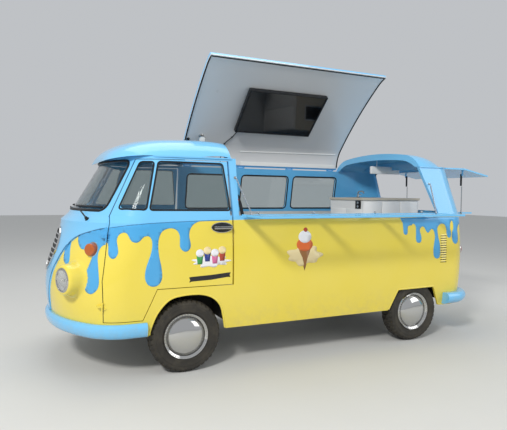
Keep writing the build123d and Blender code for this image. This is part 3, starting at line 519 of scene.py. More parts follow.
for name, obj in nodes.items():
    mesh = obj.data
    mesh.materials.clear()
    mesh.materials.append(look.get(name) or (rubber if name.startswith("tyre") else
                                             chrome if name.startswith("wheel_") else black))
    if name in LINED:
        mesh.materials.append(inner)
        for f in mesh.polygons:
            c = f.center
            out = Vector((c.x - min(max(c.x, -1.1), 1.2), c.y, 0))
            f.material_index = 1 if f.normal.dot(out.normalized()) < -0.5 and c.z > 0.36 else 0
    if name in ("door_left", "door_right", "nose_panel"):
        mesh.materials.append(chrome)
        mesh.materials.append(drip_blue_shaded)
        for f in mesh.polygons:
            c = f.center
            if "door" in name and -0.99 < c.x < -0.82 and 1.165 < c.z < 1.22 and abs(c.y) > 0.869:
                f.material_index = 2
            if (Vector((c.x, -abs(c.y), c.z)) - UPPER_HINGE).length < 0.046:
                f.material_index = 3
    mesh.shade_smooth()
    mod = obj.modifiers.new("edges", "WEIGHTED_NORMAL")
    mod.keep_sharp = True
    with bpy.context.temp_override(object=obj, active_object=obj, selected_objects=[obj],
                                   selected_editable_objects=[obj]):
        bpy.ops.object.shade_auto_smooth(angle=math.radians(28))

nose_tree = search("nose_panel")
door_tree = search("door_left")
rear_tree = search("left_side", "rear_end")

# The nose's skin without the fairing that carries the near headlamp
LAMP = Vector((-2.127, -0.620, 0.788))
TURN = math.radians(23.6)
LAMP_OUT = Vector((-math.cos(TURN), -math.sin(TURN), 0))


def on_fairing(f):
    centre = f.calc_center_median()
    away = centre - LAMP
    return (away.cross(LAMP_OUT).length < 0.1405 and away.dot(LAMP_OUT) > -0.2 and centre.y < 0
            and abs(f.normal.dot(LAMP_OUT)) < 0.35)


bm = bmesh.new()
bm.from_mesh(nodes["nose_panel"].data)
bmesh.ops.delete(bm, geom=[f for f in bm.faces if on_fairing(f)], context="FACES")
bare_nose = BVHTree.FromBMesh(bm)
bm.free()

# Painted drips under the belt: the skin they lie on, what carries them, and (u, z) points along the near
# side, first of the hanging edge and then of the top
DRIPS = (
    ("nose_drip", nose_tree, "body",
     pairs(-2303, 1000, -2277, 935, -2252, 906, -2229, 893, -2211, 891, -2192, 901, -2186, 920, -2199, 958,
           -2219, 999, -2232, 1034, -2240, 1067),
     pairs(-2270, 1047)),
    ("nose_drips", bare_nose, "body",
     pairs(-2160, 1118, -2149, 1083, -2125, 1053, -2101, 1034, -2081, 1023, -2057, 1020, -2019, 1020,
           -1985, 1022, -1957, 1018, -1945, 986, -1951, 945, -1965, 896, -1980, 847, -1984, 805,
           -1984, 763, -1977, 726, -1960, 700, -1927, 688, -1898, 700, -1874, 726, -1863, 758, -1862, 796,
           -1869, 850, -1882, 916, -1893, 962, -1895, 1003, -1888, 1030, -1875, 1051, -1857, 1064,
           -1841, 1068),
     pairs(-1839, 1110, -1835, 1160, -1832, 1196, -1850, 1196, -1992, 1165, -2100, 1137)),
    ("door_drips", door_tree, "door",
     pairs(-1823, 1075, -1818, 1060, -1815, 1045, -1814, 1023, -1810, 998, -1801, 980, -1788, 968,
           -1772, 964, -1757, 971, -1746, 989, -1740, 1009, -1741, 1036, -1748, 1070, -1754, 1104,
           -1749, 1131, -1733, 1153, -1704, 1165, -1681, 1156, -1668, 1135, -1658, 1115, -1645, 1097,
           -1625, 1088, -1603, 1088, -1583, 1102, -1567, 1120, -1553, 1131, -1533, 1136, -1512, 1129,
           -1498, 1108, -1492, 1079, -1494, 1037, -1505, 989, -1522, 941, -1540, 886, -1548, 837,
           -1546, 795, -1532, 762, -1512, 744, -1484, 736, -1452, 742, -1427, 766, -1415, 801, -1415, 844,
           -1424, 908, -1437, 965, -1443, 1014, -1445, 1064, -1439, 1113, -1422, 1155, -1397, 1179,
           -1360, 1192, -1328, 1192, -1298, 1180, -1277, 1155, -1268, 1123, -1268, 1080, -1267, 1044,
           -1252, 1018, -1226, 1003, -1200, 1009, -1181, 1033, -1179, 1070, -1188, 1113, -1189, 1149,
           -1179, 1185, -1156, 1217, -1125, 1236, -1090, 1247),
     pairs(-1185, 1246, -1312, 1243, -1442, 1237, -1584, 1228, -1715, 1214, -1800, 1202, -1815, 1199,
           -1819, 1160, -1822, 1110)),
    ("quarter_drips", rear_tree, "body",
     pairs(986, 1251, 1001, 1224, 1016, 1203, 1019, 1181, 1022, 1149, 1025, 1111, 1033, 1091, 1052, 1084,
           1070, 1090, 1077, 1110, 1078, 1148, 1086, 1169, 1110, 1176, 1128, 1177, 1142, 1189, 1160, 1190,
           1177, 1176, 1185, 1151, 1185, 1097, 1184, 1042, 1191, 1015, 1205, 1002, 1221, 999, 1241, 1003,
           1253, 1021, 1253, 1062, 1242, 1095, 1234, 1128, 1247, 1150, 1272, 1163, 1297, 1149, 1314, 1121,
           1335, 1100, 1353, 1102, 1368, 1117, 1387, 1134, 1409, 1130, 1424, 1108, 1433, 1080, 1436, 1047,
           1426, 991, 1417, 936, 1418, 880, 1430, 846, 1462, 829, 1493, 837, 1507, 868, 1507, 933,
           1499, 989, 1485, 1034, 1477, 1068, 1471, 1101, 1468, 1135, 1480, 1162, 1506, 1182, 1537, 1187,
           1567, 1179, 1584, 1155, 1593, 1121, 1596, 1082, 1607, 1052, 1628, 1039, 1646, 1050, 1653, 1075,
           1649, 1110, 1642, 1137, 1646, 1188, 1665, 1217, 1679, 1202, 1684, 1165, 1681, 1131, 1671, 1108,
           1665, 1080, 1664, 1040, 1671, 1006, 1686, 983, 1708, 973, 1732, 983, 1747, 1008, 1750, 1060,
           1742, 1106, 1748, 1145, 1775, 1172, 1810, 1176, 1837, 1155, 1846, 1100, 1849, 1040, 1866, 1004,
           1893, 990, 1919, 1004, 1932, 1040, 1936, 1100, 1951, 1155, 1986, 1180, 2030, 1184, 2060, 1166,
           2074, 1130, 2082, 1084, 2102, 1056, 2126, 1056, 2145, 1082, 2151, 1130, 2168, 1172, 2200, 1194,
           2250, 1206, 2300, 1222, 2345, 1244),
     pairs(2200, 1250, 1900, 1250, 1572, 1251, 1277, 1251.5)))
for name, tree, rider, edge, top in DRIPS:
    upper = [edge[-1]] + [(u, z + (0.004 if z > 1.12 else 0.0)) for u, z in top] + [edge[0]]
    outline = smooth_line(edge, 4)
    for (u0, z0), (u1, z1) in zip(upper, upper[1:]):
        cuts = max(1, round(math.hypot(u1 - u0, z1 - z0) / 0.018))
        outline += [(u0 + (u1 - u0) * k / cuts, z0 + (z1 - z0) * k / cuts) for k in range(1, cuts)]
        outline.append((u1, z1))
    for side, flip in SIDES:
        body = f"door_{side}" if rider == "door" else rider
        decal(f"{name}_{side}", outline[:-1], tree, body, drip_blue_shaded, flip=flip)


# Crease along the belt and round the V: beads in a dark blue that paint the crease's shadow line
def belt_height(x):
    for (x0, z0), (x1, z1) in zip(BELT, BELT[1:]):
        if x0 <= x <= x1:
            return z0 + (z1 - z0) * (x - x0) / (x1 - x0)


V_CREASE = smooth_line(pairs(-2457, 529, -2392, 808, -2356, 897, -2324, 976, -2270, 1050, -2164, 1119,
                             -1992, 1168, -1845, 1200), 8)
DOOR_CREASE = [(u, belt_height(u)) for u in (-1.812 + 0.0335 * i for i in range(30))]
QUARTER_CREASE = [(1.42 + 0.045 * i, 1.262) for i in range(19)]
for side, flip in SIDES:
    bead(f"door_crease_{side}", DOOR_CREASE, door_tree, f"door_{side}", crease_shade_blue, 0.0034, flip=flip)
    bead(f"quarter_crease_{side}", QUARTER_CREASE, rear_tree, "body", crease_shade_blue, 0.004, flip=flip)
    bead(f"nose_crease_{side}", V_CREASE, nose_tree, "body", crease_shade_blue, 0.0042, flip=flip)

# Tyres with tread, and the beads and edge of the trim rings; W is half a tyre's width
W = 0.158 / 2
HUB_Y, HUB_Z = 0.764, 0.3
BEAD_R = 0.1815


def tyre_mesh():
    """Cross-section swept round the axle, with a grooved tread of blocks and ribbed flanks."""
    shares = ((0.178, 0.72), (0.186, 0.79), (0.2, 0.86), (0.205, 0.9), (0.209, 0.88), (0.233, 0.985),
              (0.245, 1), (0.25, 1), (0.252, 0.975), (0.262, 1), (0.276, 0.965), (0.286, 0.9), (0.291, 0.8),
              (0.2955, 0.72), (0.2985, 0.62), (0.2995, 0.42), (0.293, 0.4), (0.293, 0.35), (0.3, 0.33),
              (0.3, 0.05), (0.2935, 0.03))
    half = [(r, share * W) for r, share in shares]
    steps = 320
    rings = []
    for s in range(steps):
        a = 2 * math.pi * s / steps
        ring = []
        for r, y in half + [(r, -y) for r, y in reversed(half)]:
            shoulder = abs(y) > 0.6 * W and r > 0.284
            middle = 0.04 * W < abs(y) < 0.36 * W and r > 0.299
            if (shoulder and s % 8 < 2) or (middle and s % 8 in (4, 5)):
                r -= 0.009
            ring.append((r * math.sin(a), y, r * math.cos(a)))
        rings.append(ring)
    return loft_rings(None, rings, closed=True)


for axle, x in (("front", -1.2), ("rear", 1.2)):
    for side, flip in SIDES:
        body = f"wheel_{axle}_{side}"
        hub = Vector((x, -flip * HUB_Y, HUB_Z))
        bm = tyre_mesh()
        bmesh.ops.translate(bm, vec=hub, verts=bm.verts)
        tyre = add(f"tyre_{axle}_{side}_tread", bm, rubber, body, 50)
        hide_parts(f"tyre_{axle}_{side}")
        bm = bmesh.new()
        for k in range(48):
            a = 2 * math.pi * k / 48
            at = hub + Vector((BEAD_R * math.sin(a), -flip * 0.0675, BEAD_R * math.cos(a)))
            turn = Matrix.Translation(at) @ Matrix.Rotation(a, 4, "Y")
            slab(bm, (-0.0062, -0.006, -0.0045), (0.0062, 0.006, 0.0045), 0.002, turn=turn)
        lathe(bm, pairs(156.5, 35.5, 156.5, 40, 160.5, 42.5, 164.5, 40, 164.5, 35.5),
              hub, (0, -flip, 0), 72)
        add(f"ring_beads_{axle}_{side}", bm, chrome, body)


def rounded(points, radius, steps=5):
    """Closed outline with its corners rounded."""
    out = []
    n = len(points)
    for i in range(n):
        a, b, c = (Vector(points[(i + k) % n]) for k in (-1, 0, 1))
        p, q = b + (a - b).normalized() * radius, b + (c - b).normalized() * radius
        for s in range(steps + 1):
            t = s / steps
            out.append(p * (1 - t) ** 2 + b * (2 * t * (1 - t)) + q * t * t)
    dense = []
    for a, b in zip(out, out[1:] + out[:1]):
        cuts = max(1, int((b - a).length / 0.05))
        dense += [a.lerp(b, k / cuts) for k in range(cuts)]
    return dense


def grown(outline, by):
    """Closed outline moved outward."""
    n = len(outline)
    turn = sum(outline[i].cross(outline[(i + 1) % n]) for i in range(n))
    out = []
    for i in range(n):
        t = (outline[(i + 1) % n] - outline[i - 1]).normalized()
        out.append(outline[i] + Vector((t.y, -t.x)) * (by if turn > 0 else -by))
    return out


def seal_loop(name, outline, tree, start, along, body="body", radius=0.0075, flip=1):
    """Rubber profile round an opening. Its outline is cast along an axis from x or y at start; where a ray
    falls into the opening, the surface just outside it serves."""
    along = Vector(along)
    wider = [grown(outline, by) for by in (0.0, 0.003, 0.006, 0.010, 0.015, 0.022)]

    def place(p):
        return Vector((start, p.x, p.y) if along.x else (p.x, start, p.y))

    spots = []
    for i, p in enumerate(outline):
        for w in wider:
            hit, normal, _, _ = tree.ray_cast(place(w[i]), along, 1.3)
            if hit is not None:
                spots.append((hit - place(w[i]) + place(p), normal if normal.dot(along) < 0 else -normal))
                break
    spots = [s for i, s in enumerate(spots) if (s[0] - spots[i - 1][0]).length > 1e-4]
    return add(name, follow(None, spots, disc(radius, 8, 0.55), flip, True), seal, body, 70)


cab_tree = search("cab_frame", "nose_panel")
far_tree = search("right_side")
end_tree = search("rear_end")
pane_tree = search("windscreen")

# Seals of the windows
vent = rounded(pairs(-1726, 1348, -1534, 1344, -1450, 1722, -1544, 1722), 0.022)
drop = rounded(pairs(-1500, 1342, -826, 1338, -872, 1722, -1412, 1724), 0.022)
for side, flip in SIDES:
    for name, line in (("vent", vent), ("window", drop)):
        seal_loop(f"{name}_seal_{side}", grown(line, 0.004), door_tree, -1.3, (0, 1, 0), f"door_{side}",
                  flip=flip)
line = rounded(pairs(-628, 1334, 628, 1334, 588, 1732, -588, 1732), 0.06, 8)
seal_loop("windscreen_seal", grown(line, 0.007), cab_tree, -2.6, (1, 0, 0), radius=0.012)
for i, (x0, x1) in enumerate(pairs(-700, -115, -28, 592, 672, 1300)):
    line = grown(rounded(((x0, 1.306), (x1, 1.306), (x1, 1.69), (x0, 1.69)), 0.045, 7), 0.006)
    seal_loop(f"far_seal_{i}", line, far_tree, 1.3, (0, -1, 0), radius=0.010)
    seal_loop(f"far_lining_{i}", line, far_tree, 0.4, (0, 1, 0), radius=0.008)
line = rounded(pairs(-560, 1300, 560, 1300, 560, 1750, -560, 1750), 0.045, 7)
seal_loop("rear_opening_seal", grown(line, 0.008), end_tree, 2.6, (-1, 0, 0), radius=0.009)

# Headlamps: painted nacelle, chrome rim, reflector, bulb and ribbed lens
TUBE_R, FOOT_R, LENS_R = 0.1225, 0.156, 0.0838
lamp_side = Vector((LAMP_OUT.y, -LAMP_OUT.x, 0))
rings = []
for k in range(72):
    a = 2 * math.pi * k / 72
    d = lamp_side * math.cos(a) + UP * math.sin(a)

    def depth(r):
        """How far behind the lamp's centre the nose lies, r from the lamp's axis."""
        return (LAMP - cast(bare_nose, LAMP + d * r + LAMP_OUT * 0.3, -LAMP_OUT)[0]).dot(LAMP_OUT)

    knee_depth = depth(0.146)
    start = max(0.012, knee_depth - 0.03)
    line = pairs(98, -4, 98, -14, 104, -16, 112, -12, 119, -3) + [(TUBE_R, 0.009)]
    top = (TUBE_R + 0.018 * start / 0.19, start)
    knee = (0.1415, knee_depth - 0.001)
    foot = (FOOT_R, depth(FOOT_R) - 0.001)
    for t in (1 / 3, 2 / 3):
        line.append((TUBE_R + (top[0] - TUBE_R) * t, 0.009 + (start - 0.009) * t))
    for t in (s / 10 for s in range(11)):
        p, q, w = (1 - t) ** 2, 2 * t * (1 - t), t * t
        line.append(tuple(p * a + q * b + w * c for a, b, c in zip(top, knee, foot)))
    line.append((FOOT_R + 0.003, depth(FOOT_R + 0.003) + 0.004))
    rings.append([LAMP + d * r - LAMP_OUT * h for r, h in line])

grid = {}
CELLS = 56
for i in range(CELLS + 1):
    for j in range(CELLS + 1):
        p = (2 * i / CELLS - 1, 2 * j / CELLS - 1)
        r = math.hypot(*p)
        s = max(abs(p[0]), abs(p[1])) / r * LENS_R if r > 1e-6 else LENS_R
        px, pz = p[0] * s, p[1] * s
        share = math.hypot(px, pz) / LENS_R
        rib = 0.0004 * math.cos(px * 330) if share < 0.93 else 0.0
        grid[i, j] = px, pz, 0.0155 + 0.0145 * (1 - share * share) + rib
LENS_EDGE = ([(i, 0) for i in range(CELLS)] + [(CELLS, j) for j in range(CELLS)]
             + [(i, CELLS) for i in range(CELLS, 0, -1)] + [(0, j) for j in range(CELLS, 0, -1)])
for side, flip in SIDES:
    at, out = over(LAMP, flip), over(LAMP_OUT, flip)
    bm = bmesh.new()
    rows = [[bm.verts.new(over(p, flip)) for p in ring] for ring in rings]
    join(bm, rows + rows[:1], ring=False)
    bmesh.ops.recalc_face_normals(bm, faces=bm.faces)
    if sum(f.normal.dot(f.calc_center_median() - at + out * 0.1) for f in bm.faces) < 0:
        bmesh.ops.reverse_faces(bm, faces=bm.faces)
    add(f"lamp_nacelle_{side}", bm, two_tone, "body", 50, recalc=False)
    bm = lathe(None, pairs(83.5, 6, 84, 16, 87.5, 21.5, 93, 21, 97.5, 16, 99.5, 8, 99.5, 0.4, 83.5, 0.4,
                           83.5, 6), at, out, 72)
    rim = add(f"lamp_rim_{side}", bm, chrome, "body", 40)
    bm = lathe(None, pairs(83.2, 12, 78, 9, 62, 4, 40, 1.8, 18, 1, 0, 1, 0, 0.5, 83.2, 0.5, 83.2, 12),
               at, out, 64)
    add(f"lamp_reflector_{side}", bm, mirror, "body", 40)
    bm = lathe(None, pairs(0, 13, 6, 12.5, 9.5, 10, 10, 6, 9, 1.5), at, out, 24)
    add(f"lamp_bulb_{side}", bm, lamp_white, "body", 50, "lamp_glass")
    bm = bmesh.new()
    across = out.cross(UP)
    front = {k: bm.verts.new(at + across * px + UP * pz + out * h) for k, (px, pz, h) in grid.items()}
    back = {k: bm.verts.new(v.co - out * 0.0035) for k, v in front.items()}
    for face in (front, back):
        join(bm, [[face[i, j] for i in range(CELLS + 1)] for j in range(CELLS + 1)], ring=False)
    for a, b in zip(LENS_EDGE, LENS_EDGE[1:] + LENS_EDGE[:1]):
        bm.faces.new((front[b], front[a], back[a], back[b]))
    glassy = add(f"lamp_lens_{side}", bm, lens, "body", 60)
    for piece in (rim, glassy):
        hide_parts("headlamps")

# Chrome base rings of the indicators
a, b = Vector((-1.89, -0.652, 1.026)), Vector((-1.953, -0.704, 1.026))
axis = (b - a).normalized()
level = axis.cross(UP).normalized()
ring = [cast(bare_nose, b + level * x + UP * y + axis * 0.3, -axis) for x, y in disc(0.054, 40)]
for side, flip in SIDES:
    add(f"indicator_ring_{side}", follow(None, ring, disc(0.006, 8, 0.8), flip, True), chrome, "body", 70)

# Tail lamps: domed red lens in a chrome ring
a, b = Vector((1.79, -0.67, 0.9)), Vector((1.975, -0.792, 0.9))
axis = (b - a).normalized()
above = UP * 0.075
spot = cast(end_tree, b + axis * 0.3 + above, -axis)[0] - above
for side, flip in SIDES:
    at, out = over(spot, flip), over(axis, flip)
    bm = lathe(None, pairs(0, 27, 18, 26.2, 34, 23, 44, 17, 48.5, 9, 48.5, -4), at, out)
    red_piece = add(f"tail_lens_{side}", bm, red, "body", 50)
    bm = lathe(None, pairs(47.5, 0, 47.5, 10, 50.5, 12.5, 55, 10, 57.5, 2, 57.5, -12), at, out)
    ring_piece = add(f"tail_ring_{side}", bm, chrome, "body", 50)
    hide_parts("tail_lamps")
    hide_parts("tail_lamps")

# Grille inside the ring on the nose: dark plate and chrome bars
AHEAD = (1, 0, 0)
EMBLEM_Z = 0.985
EMBLEM_R = 0.172
bm = bmesh.new()
rows = []
for r in (0.0, 0.06, 0.12, EMBLEM_R):
    places = disc(r, 48) if r else [(0.0, 0.0)]
    spots = [cast(bare_nose, (-2.6, y, EMBLEM_Z + z), AHEAD) for y, z in places]
    rows.append([bm.verts.new(p + n * (0.004 if r < EMBLEM_R else 0.0005)) for p, n in spots])
join(bm, rows)
add("grille_plate", bm, black, "body", 60)
bm = bmesh.new()
for h in (-0.12, -0.08, -0.04, 0.0, 0.04, 0.08, 0.12):
    half = math.sqrt(0.17 ** 2 - h * h)
    spots = [cast(bare_nose, (-2.6, half * (2 * k / 16 - 1), EMBLEM_Z + h), AHEAD) for k in range(17)]
    follow(bm, spots, disc(0.0065, 8, 0.8), lift=0.006)
add("grille_bars", bm, chrome, "body", 60)

# Wipers parked under the screen
base, n = cast(bare_nose, (-2.6, -0.534, 1.258), AHEAD)
tip, _ = cast(cab_tree, (-2.6, -0.36, 1.312), AHEAD)
path = smooth_line([base + n * 0.018, base.lerp(tip, 0.5) + n * 0.04, tip + n * 0.034], 8)
blade = [cast(pane_tree, (-2.6, -0.58 + 0.44 * k / 14, 1.352), AHEAD) for k in range(15)]
for side, flip in SIDES:
    bm = lathe(None, pairs(0, 24, 10, 23.5, 13, 18, 13, 6, 19, 2, 19, -2),
               over(base, flip), over(n, flip), 24)
    sweep(bm, [over(p, flip) for p in path], disc(0.0055, 8))
    follow(bm, blade, pairs(-4, -10, 4, -10, 6, 4, -6, 4), flip, lift=0.012)
    add(f"wiper_{side}", bm, black, "body", 50)


def oval(u, z, a, b, count=24):
    turns = [2 * math.pi * k / count for k in range(count)]
    return [(u + a * math.cos(t), z + b * math.sin(t)) for t in turns]


# Dark oval plates behind the door handles, with a chrome edge
plate = oval(-0.9035, 1.1925, 0.0925, 0.041, 40)
for side, flip in SIDES:
    decal(f"handle_plate_{side}", plate, door_tree, f"door_{side}", plastic, 0.004, 0.03, flip)
    bead(f"handle_edge_{side}", plate, door_tree, f"door_{side}", chrome, 0.0042, 0.002, flip, True, 1.0)

# Rolled lips of the wheel arches
front_arch = smooth_line(pairs(-1511, 345, -1501, 400, -1450, 520, -1358, 620, -1240, 652, -1080, 650,
                               -968, 606, -900, 520, -861, 345), 6)
rear_arch = smooth_line(pairs(876, 345, 925, 450, 968, 531, 990, 543, 1100, 544, 1300, 546, 1420, 546,
                              1446, 534, 1490, 440, 1532, 345), 4)
arch_tree = search("front_arches", "cab_frame", "left_side", "rear_end")
for axle, line in (("front", front_arch), ("rear", rear_arch)):
    spots = []
    for i, (x, z) in enumerate(line):
        a, b = line[max(i - 1, 0)], line[min(i + 1, len(line) - 1)]
        t = Vector((b[0] - a[0], b[1] - a[1])).normalized()
        inward = Vector((t.y, 0, -t.x))
        for outside in (0.012, 0.02, 0.03, 0.045):
            start = Vector((x, -1.2, z)) - inward * outside
            hit, *_ = arch_tree.ray_cast(start, Vector((0, 1, 0)), 0.5)
            if hit is not None:
                spots.append((Vector((x, hit.y + 0.003, z)) + inward * 0.003, Vector((0, -1, 0))))
                break
    for side, flip in SIDES:
        add(f"arch_lip_{axle}_{side}", follow(None, spots, disc(0.0085, 10, 0.8), flip), two_tone, "body", 60)

# The roof flap's fittings, placed with the flap closed and then opened with it
HINGE = Vector((0, 0.772, 1.784))
OPEN = Matrix.Translation(HINGE) @ Matrix.Rotation(math.radians(-43), 4, "X") @ Matrix.Translation(-HINGE)
CLOSE = OPEN.inverted()
liner_tree = search("flap_liner", moved=CLOSE)
screen_tree = search("flap_screen", moved=CLOSE)


def under(x, y, lift=0.0, tree=liner_tree):
    """Point of the liner's visible face at x and y with the flap closed, and its normal."""
    hit, normal = cast(tree, (x, y, 1.4), UP)
    return hit + normal * lift, normal


def flap_piece(name, bm, material, angle=50.0, slot=None):
    bmesh.ops.transform(bm, matrix=OPEN, verts=bm.verts)
    return add(name, bm, material, "roof_flap", angle, slot)


# Seam of the liner with its rivets, and the pale strip along the hinge
spots = [under(-0.08 + 1.32 * k / 40, 0.587 - 0.017 * k / 40) for k in range(41)]
seam = pairs(-11, 0, -9, 1.8, 9, 1.8, 11, 0)
flap_piece("liner_seam", follow(None, spots, seam, lift=0.0005), lamp_white)
bm = bmesh.new()
for k in range(34):
    p, n = under(-0.06 + 0.0385 * k, 0.5865 - 0.0165 * k / 33, 0.0018)
    lathe(bm, pairs(0, 2.2, 2, 2, 3.5, 0), p, n, 10)
for y in (-0.56, 0.69):
    for k in range(27):
        p, n = under(-0.73 + 0.076 * k, y, 0.0002)
        lathe(bm, pairs(0, 2.2, 2, 2, 3.6, 0), p, n, 10)
flap_piece("liner_rivets", bm, aluminium)
spots = [[under(-0.06 + 1.33 * k / 30, y, 0.001) for y in (0.69, 0.722)] for k in range(31)]
bm = loft_rings(None, [(a, a + m * 0.004, b + n * 0.004, b) for (a, m), (b, n) in spots])
flap_piece("liner_strip", bm, lamp_white)

# Rubber profile round the liner's edge
edge = [under(-0.7705, 0.715 - 1.335 * k / 29) for k in range(30)]
edge += [under(-0.7705 + 2.066 * k / 30, -0.62) for k in range(1, 31)]
edge += [under(1.2955, -0.62 + 1.335 * k / 30) for k in range(1, 31)]
flap_piece("flap_seal", follow(None, edge, disc(0.0085, 8, 0.75), lift=0.001), seal)

# Bezel and glass of the display
loop = [under(x, y, tree=screen_tree)[0] for x, y in pairs(-241, -281, 701, -281, 701, 281, -241, 281)]
middle = sum(loop, Vector()) / 4
normal = (loop[1] - loop[0]).cross(loop[3] - loop[0]).normalized()
if normal.z > 0:
    normal = -normal


def inset(p, by):
    return p + (middle - p).normalized() * by


profile = pairs(0, -2, 0, 5, 2, 6.5, 14, 6.5, 16, 4, 16.5, 0.6)
bm = bmesh.new()
join(bm, [[bm.verts.new(inset(inset(p, -0.006), by * 1.35) + normal * rise) for p in loop]
          for by, rise in profile])
flap_piece("display_bezel", bm, plastic, 30)
bm = bmesh.new()
a, b, c, d = (inset(p, 0.019) + normal * 0.0011 for p in loop)
join(bm, [[bm.verts.new(a.lerp(b, i / 12).lerp(d.lerp(c, i / 12), j / 12)) for i in range(13)]
          for j in range(13)], ring=False)
back = bmesh.ops.extrude_face_region(bm, geom=bm.faces[:])
behind = [v for v in back["geom"] if isinstance(v, bmesh.types.BMVert)]
bmesh.ops.translate(bm, vec=-normal * 0.001, verts=behind)
flap_piece("display_panel", bm, screen_black, 30)

# Clipped cable, spot lamp and small sensor on the liner
CABLE_R = 0.0045
cable = pairs(-180, 292, -200, 330, -235, 400, -290, 475, -310, 540, -315, 620, -315, 700)
spots = [under(x, y, CABLE_R) for x, y in smooth_line(cable, 8)]
plug = under(-0.165, 0.262, tree=screen_tree)[0] + Vector((0, 0.012, 0.012))
flap_piece("display_cable", follow(None, [(plug, spots[0][1])] + spots, disc(CABLE_R, 8)), plastic)
bm = bmesh.new()
for k in (6, 16, 26, 36, 46):
    p, n = spots[k]
    t = (p - spots[k - 1][0]).normalized()
    turn = Matrix((t.cross(n).normalized(), t, n)).transposed().to_4x4()
    turn.translation = p - n * CABLE_R
    slab(bm, (-0.013, -0.005, 0.0), (0.013, 0.005, 0.002), 0.0008, turn=turn)
    slab(bm, (-0.0065, -0.005, 0.0), (0.0065, 0.005, 0.0102), 0.003, turn=turn)
flap_piece("cable_clips", bm, plastic)
at, n = under(-0.60, 0.406)
aim = (n + Vector((-0.35, -0.35, 0))).normalized()
head = at + n * 0.052
bm = lathe(None, pairs(0, 12, 22, 12, 26, 10, 30, 4, 30, -1), at, n, 32)
lathe(bm, [(0.006, 0.0), (0.006, 0.035)], at + n * 0.008, n, 16)
lathe(bm, pairs(0, -36, 16, -34, 26, -22, 31, 0, 36, 28, 38.5, 31, 38.5, 35, 35, 36, 33, 30), head, aim, 40)
flap_piece("spot_lamp", bm, chrome)
bm = lathe(None, pairs(0, 33, 20, 32.5, 33.2, 30.5, 33.2, 27, 0, 27), head, aim, 32)
flap_piece("spot_glass", bm, lamp_white, slot="lamp_glass")
at, n = under(-0.742, 0.458)
turn = n.to_track_quat("Z", "Y").to_matrix().to_4x4()
turn.translation = at
bm = slab(None, (-0.014, -0.02, -0.001), (0.014, 0.02, 0.018), 0.004, turn=turn)
lathe(bm, pairs(0, 26, 6, 24, 8, 17), at, n, 16)
flap_piece("liner_sensor", bm, plastic)


# Chain stays of the side shelf
def chain(start, end, link=0.03, wire=0.0028, bend=0.0052):
    """Links, by turns flatways and edgeways, from start to end."""
    start, end = Vector(start), Vector(end)
    along = end - start
    count = max(2, round(along.length / (link - 2.4 * wire)))
    way = along.normalized()
    side = way.cross(Vector((0, 1, 0.3))).normalized()
    up = way.cross(side)
    pitch = along.length / count
    half = (pitch + 2.2 * wire) / 2 - bend
    turns = [math.radians(-90 + 30 * k) for k in range(7)]
    loop = [(half + bend * math.cos(a), bend * math.sin(a)) for a in turns]
    loop += [(-x, -y) for x, y in loop]
    bm = bmesh.new()
    for k in range(count):
        mid = start + way * pitch * (k + 0.5)
        flatways = side if k % 2 else up
        sweep(bm, [mid + way * x + flatways * y for x, y in loop], disc(wire, 6), True,
              [way.cross(flatways)] * len(loop))
    return bm


CHAINS = (("front", (-0.757, -0.80, 1.61), (-0.66, -0.92, 1.305)),
          ("rear", (1.412, -0.81, 1.596), (1.345, -0.969, 1.305)))
for name, top, low in CHAINS:
    piece = add(f"shelf_chain_{name}", chain(top, low), aluminium, None, 60)
    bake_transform(piece)
    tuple(top)
    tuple(low)
bm = bmesh.new()
for x, y in ((-0.66, -0.92), (1.345, -0.969)):
    lathe(bm, pairs(0, 6, 6, 5, 13, 2, 14, -1), (x, y, 1.302), UP, 20)
add("chain_eyes_shelf", bm, chrome, "side_shelf", 50)
bm = bmesh.new()
post_tree = search("cab_frame", "rear_end")
for x, z in ((-0.7595, 1.61), (1.416, 1.596)):
    hit, n = cast(post_tree, (x, -1.2, z), (0, 1, 0), 0.8)
    lathe(bm, pairs(0, 14, 5, 12, 6, 4, 13, 2, 14, -2), hit, n, 20)
add("chain_eyes_body", bm, chrome, "body", 50)

# Turn buttons along the side shelf
bm = bmesh.new()
for x in (-0.60, -0.06, 0.62, 1.19):
    lathe(bm, pairs(0, 22, 7, 21, 10, 17, 8, 12, 5, 6, 12, 1, 12, -1), (x, -0.93, 1.302), UP, 24)
    slab(bm, (x - 0.022, -0.935, 1.3115), (x + 0.022, -0.925, 1.3155), 0.0015)
add("shelf_buttons", bm, chrome, "side_shelf", 50)

# Bracket on the pillar behind the door
path = smooth_line([(-0.7435, -0.80, 1.463), (-0.725, -0.822, 1.39), (-0.712, -0.832, 1.32),
                    (-0.706, -0.832, 1.292)], 6)
bm = sweep(None, path, pairs(-12, -6, 12, -6, 12, 6, -12, 6), normals=[(0, -1, 0)] * len(path))
add("pillar_bracket", bm, plastic, "body", 40)
bm = lathe(None, pairs(0, 12, 6, 11, 9, 6, 9, -2), (-0.7435, -0.812, 1.42), (0, -1, 0.1), 20)
add("pillar_light", bm, red, "body", 50)

# Light panel hung under the rear roof
add("light_panel", slab(None, (1.36, 0.085, 1.728), (1.78, 0.125, 1.818), 0.008), lamp_white, "body", 40)
roof_tree = search("rear_roof", "rear_end")
bm = bmesh.new()
for x in (1.45, 1.69):
    hit, _ = cast(roof_tree, (x, 0.105, 1.83), UP, 0.4)
    sweep(bm, [(x, 0.105, 1.80), (x, 0.105, hit.z + 0.003)], disc(0.005, 10), normals=[(0, 1, 0)] * 2)
    lathe(bm, pairs(5, -14, 14, -4, 16, 2), hit, UP, 20)
add("light_hangers", bm, aluminium, "body", 50)

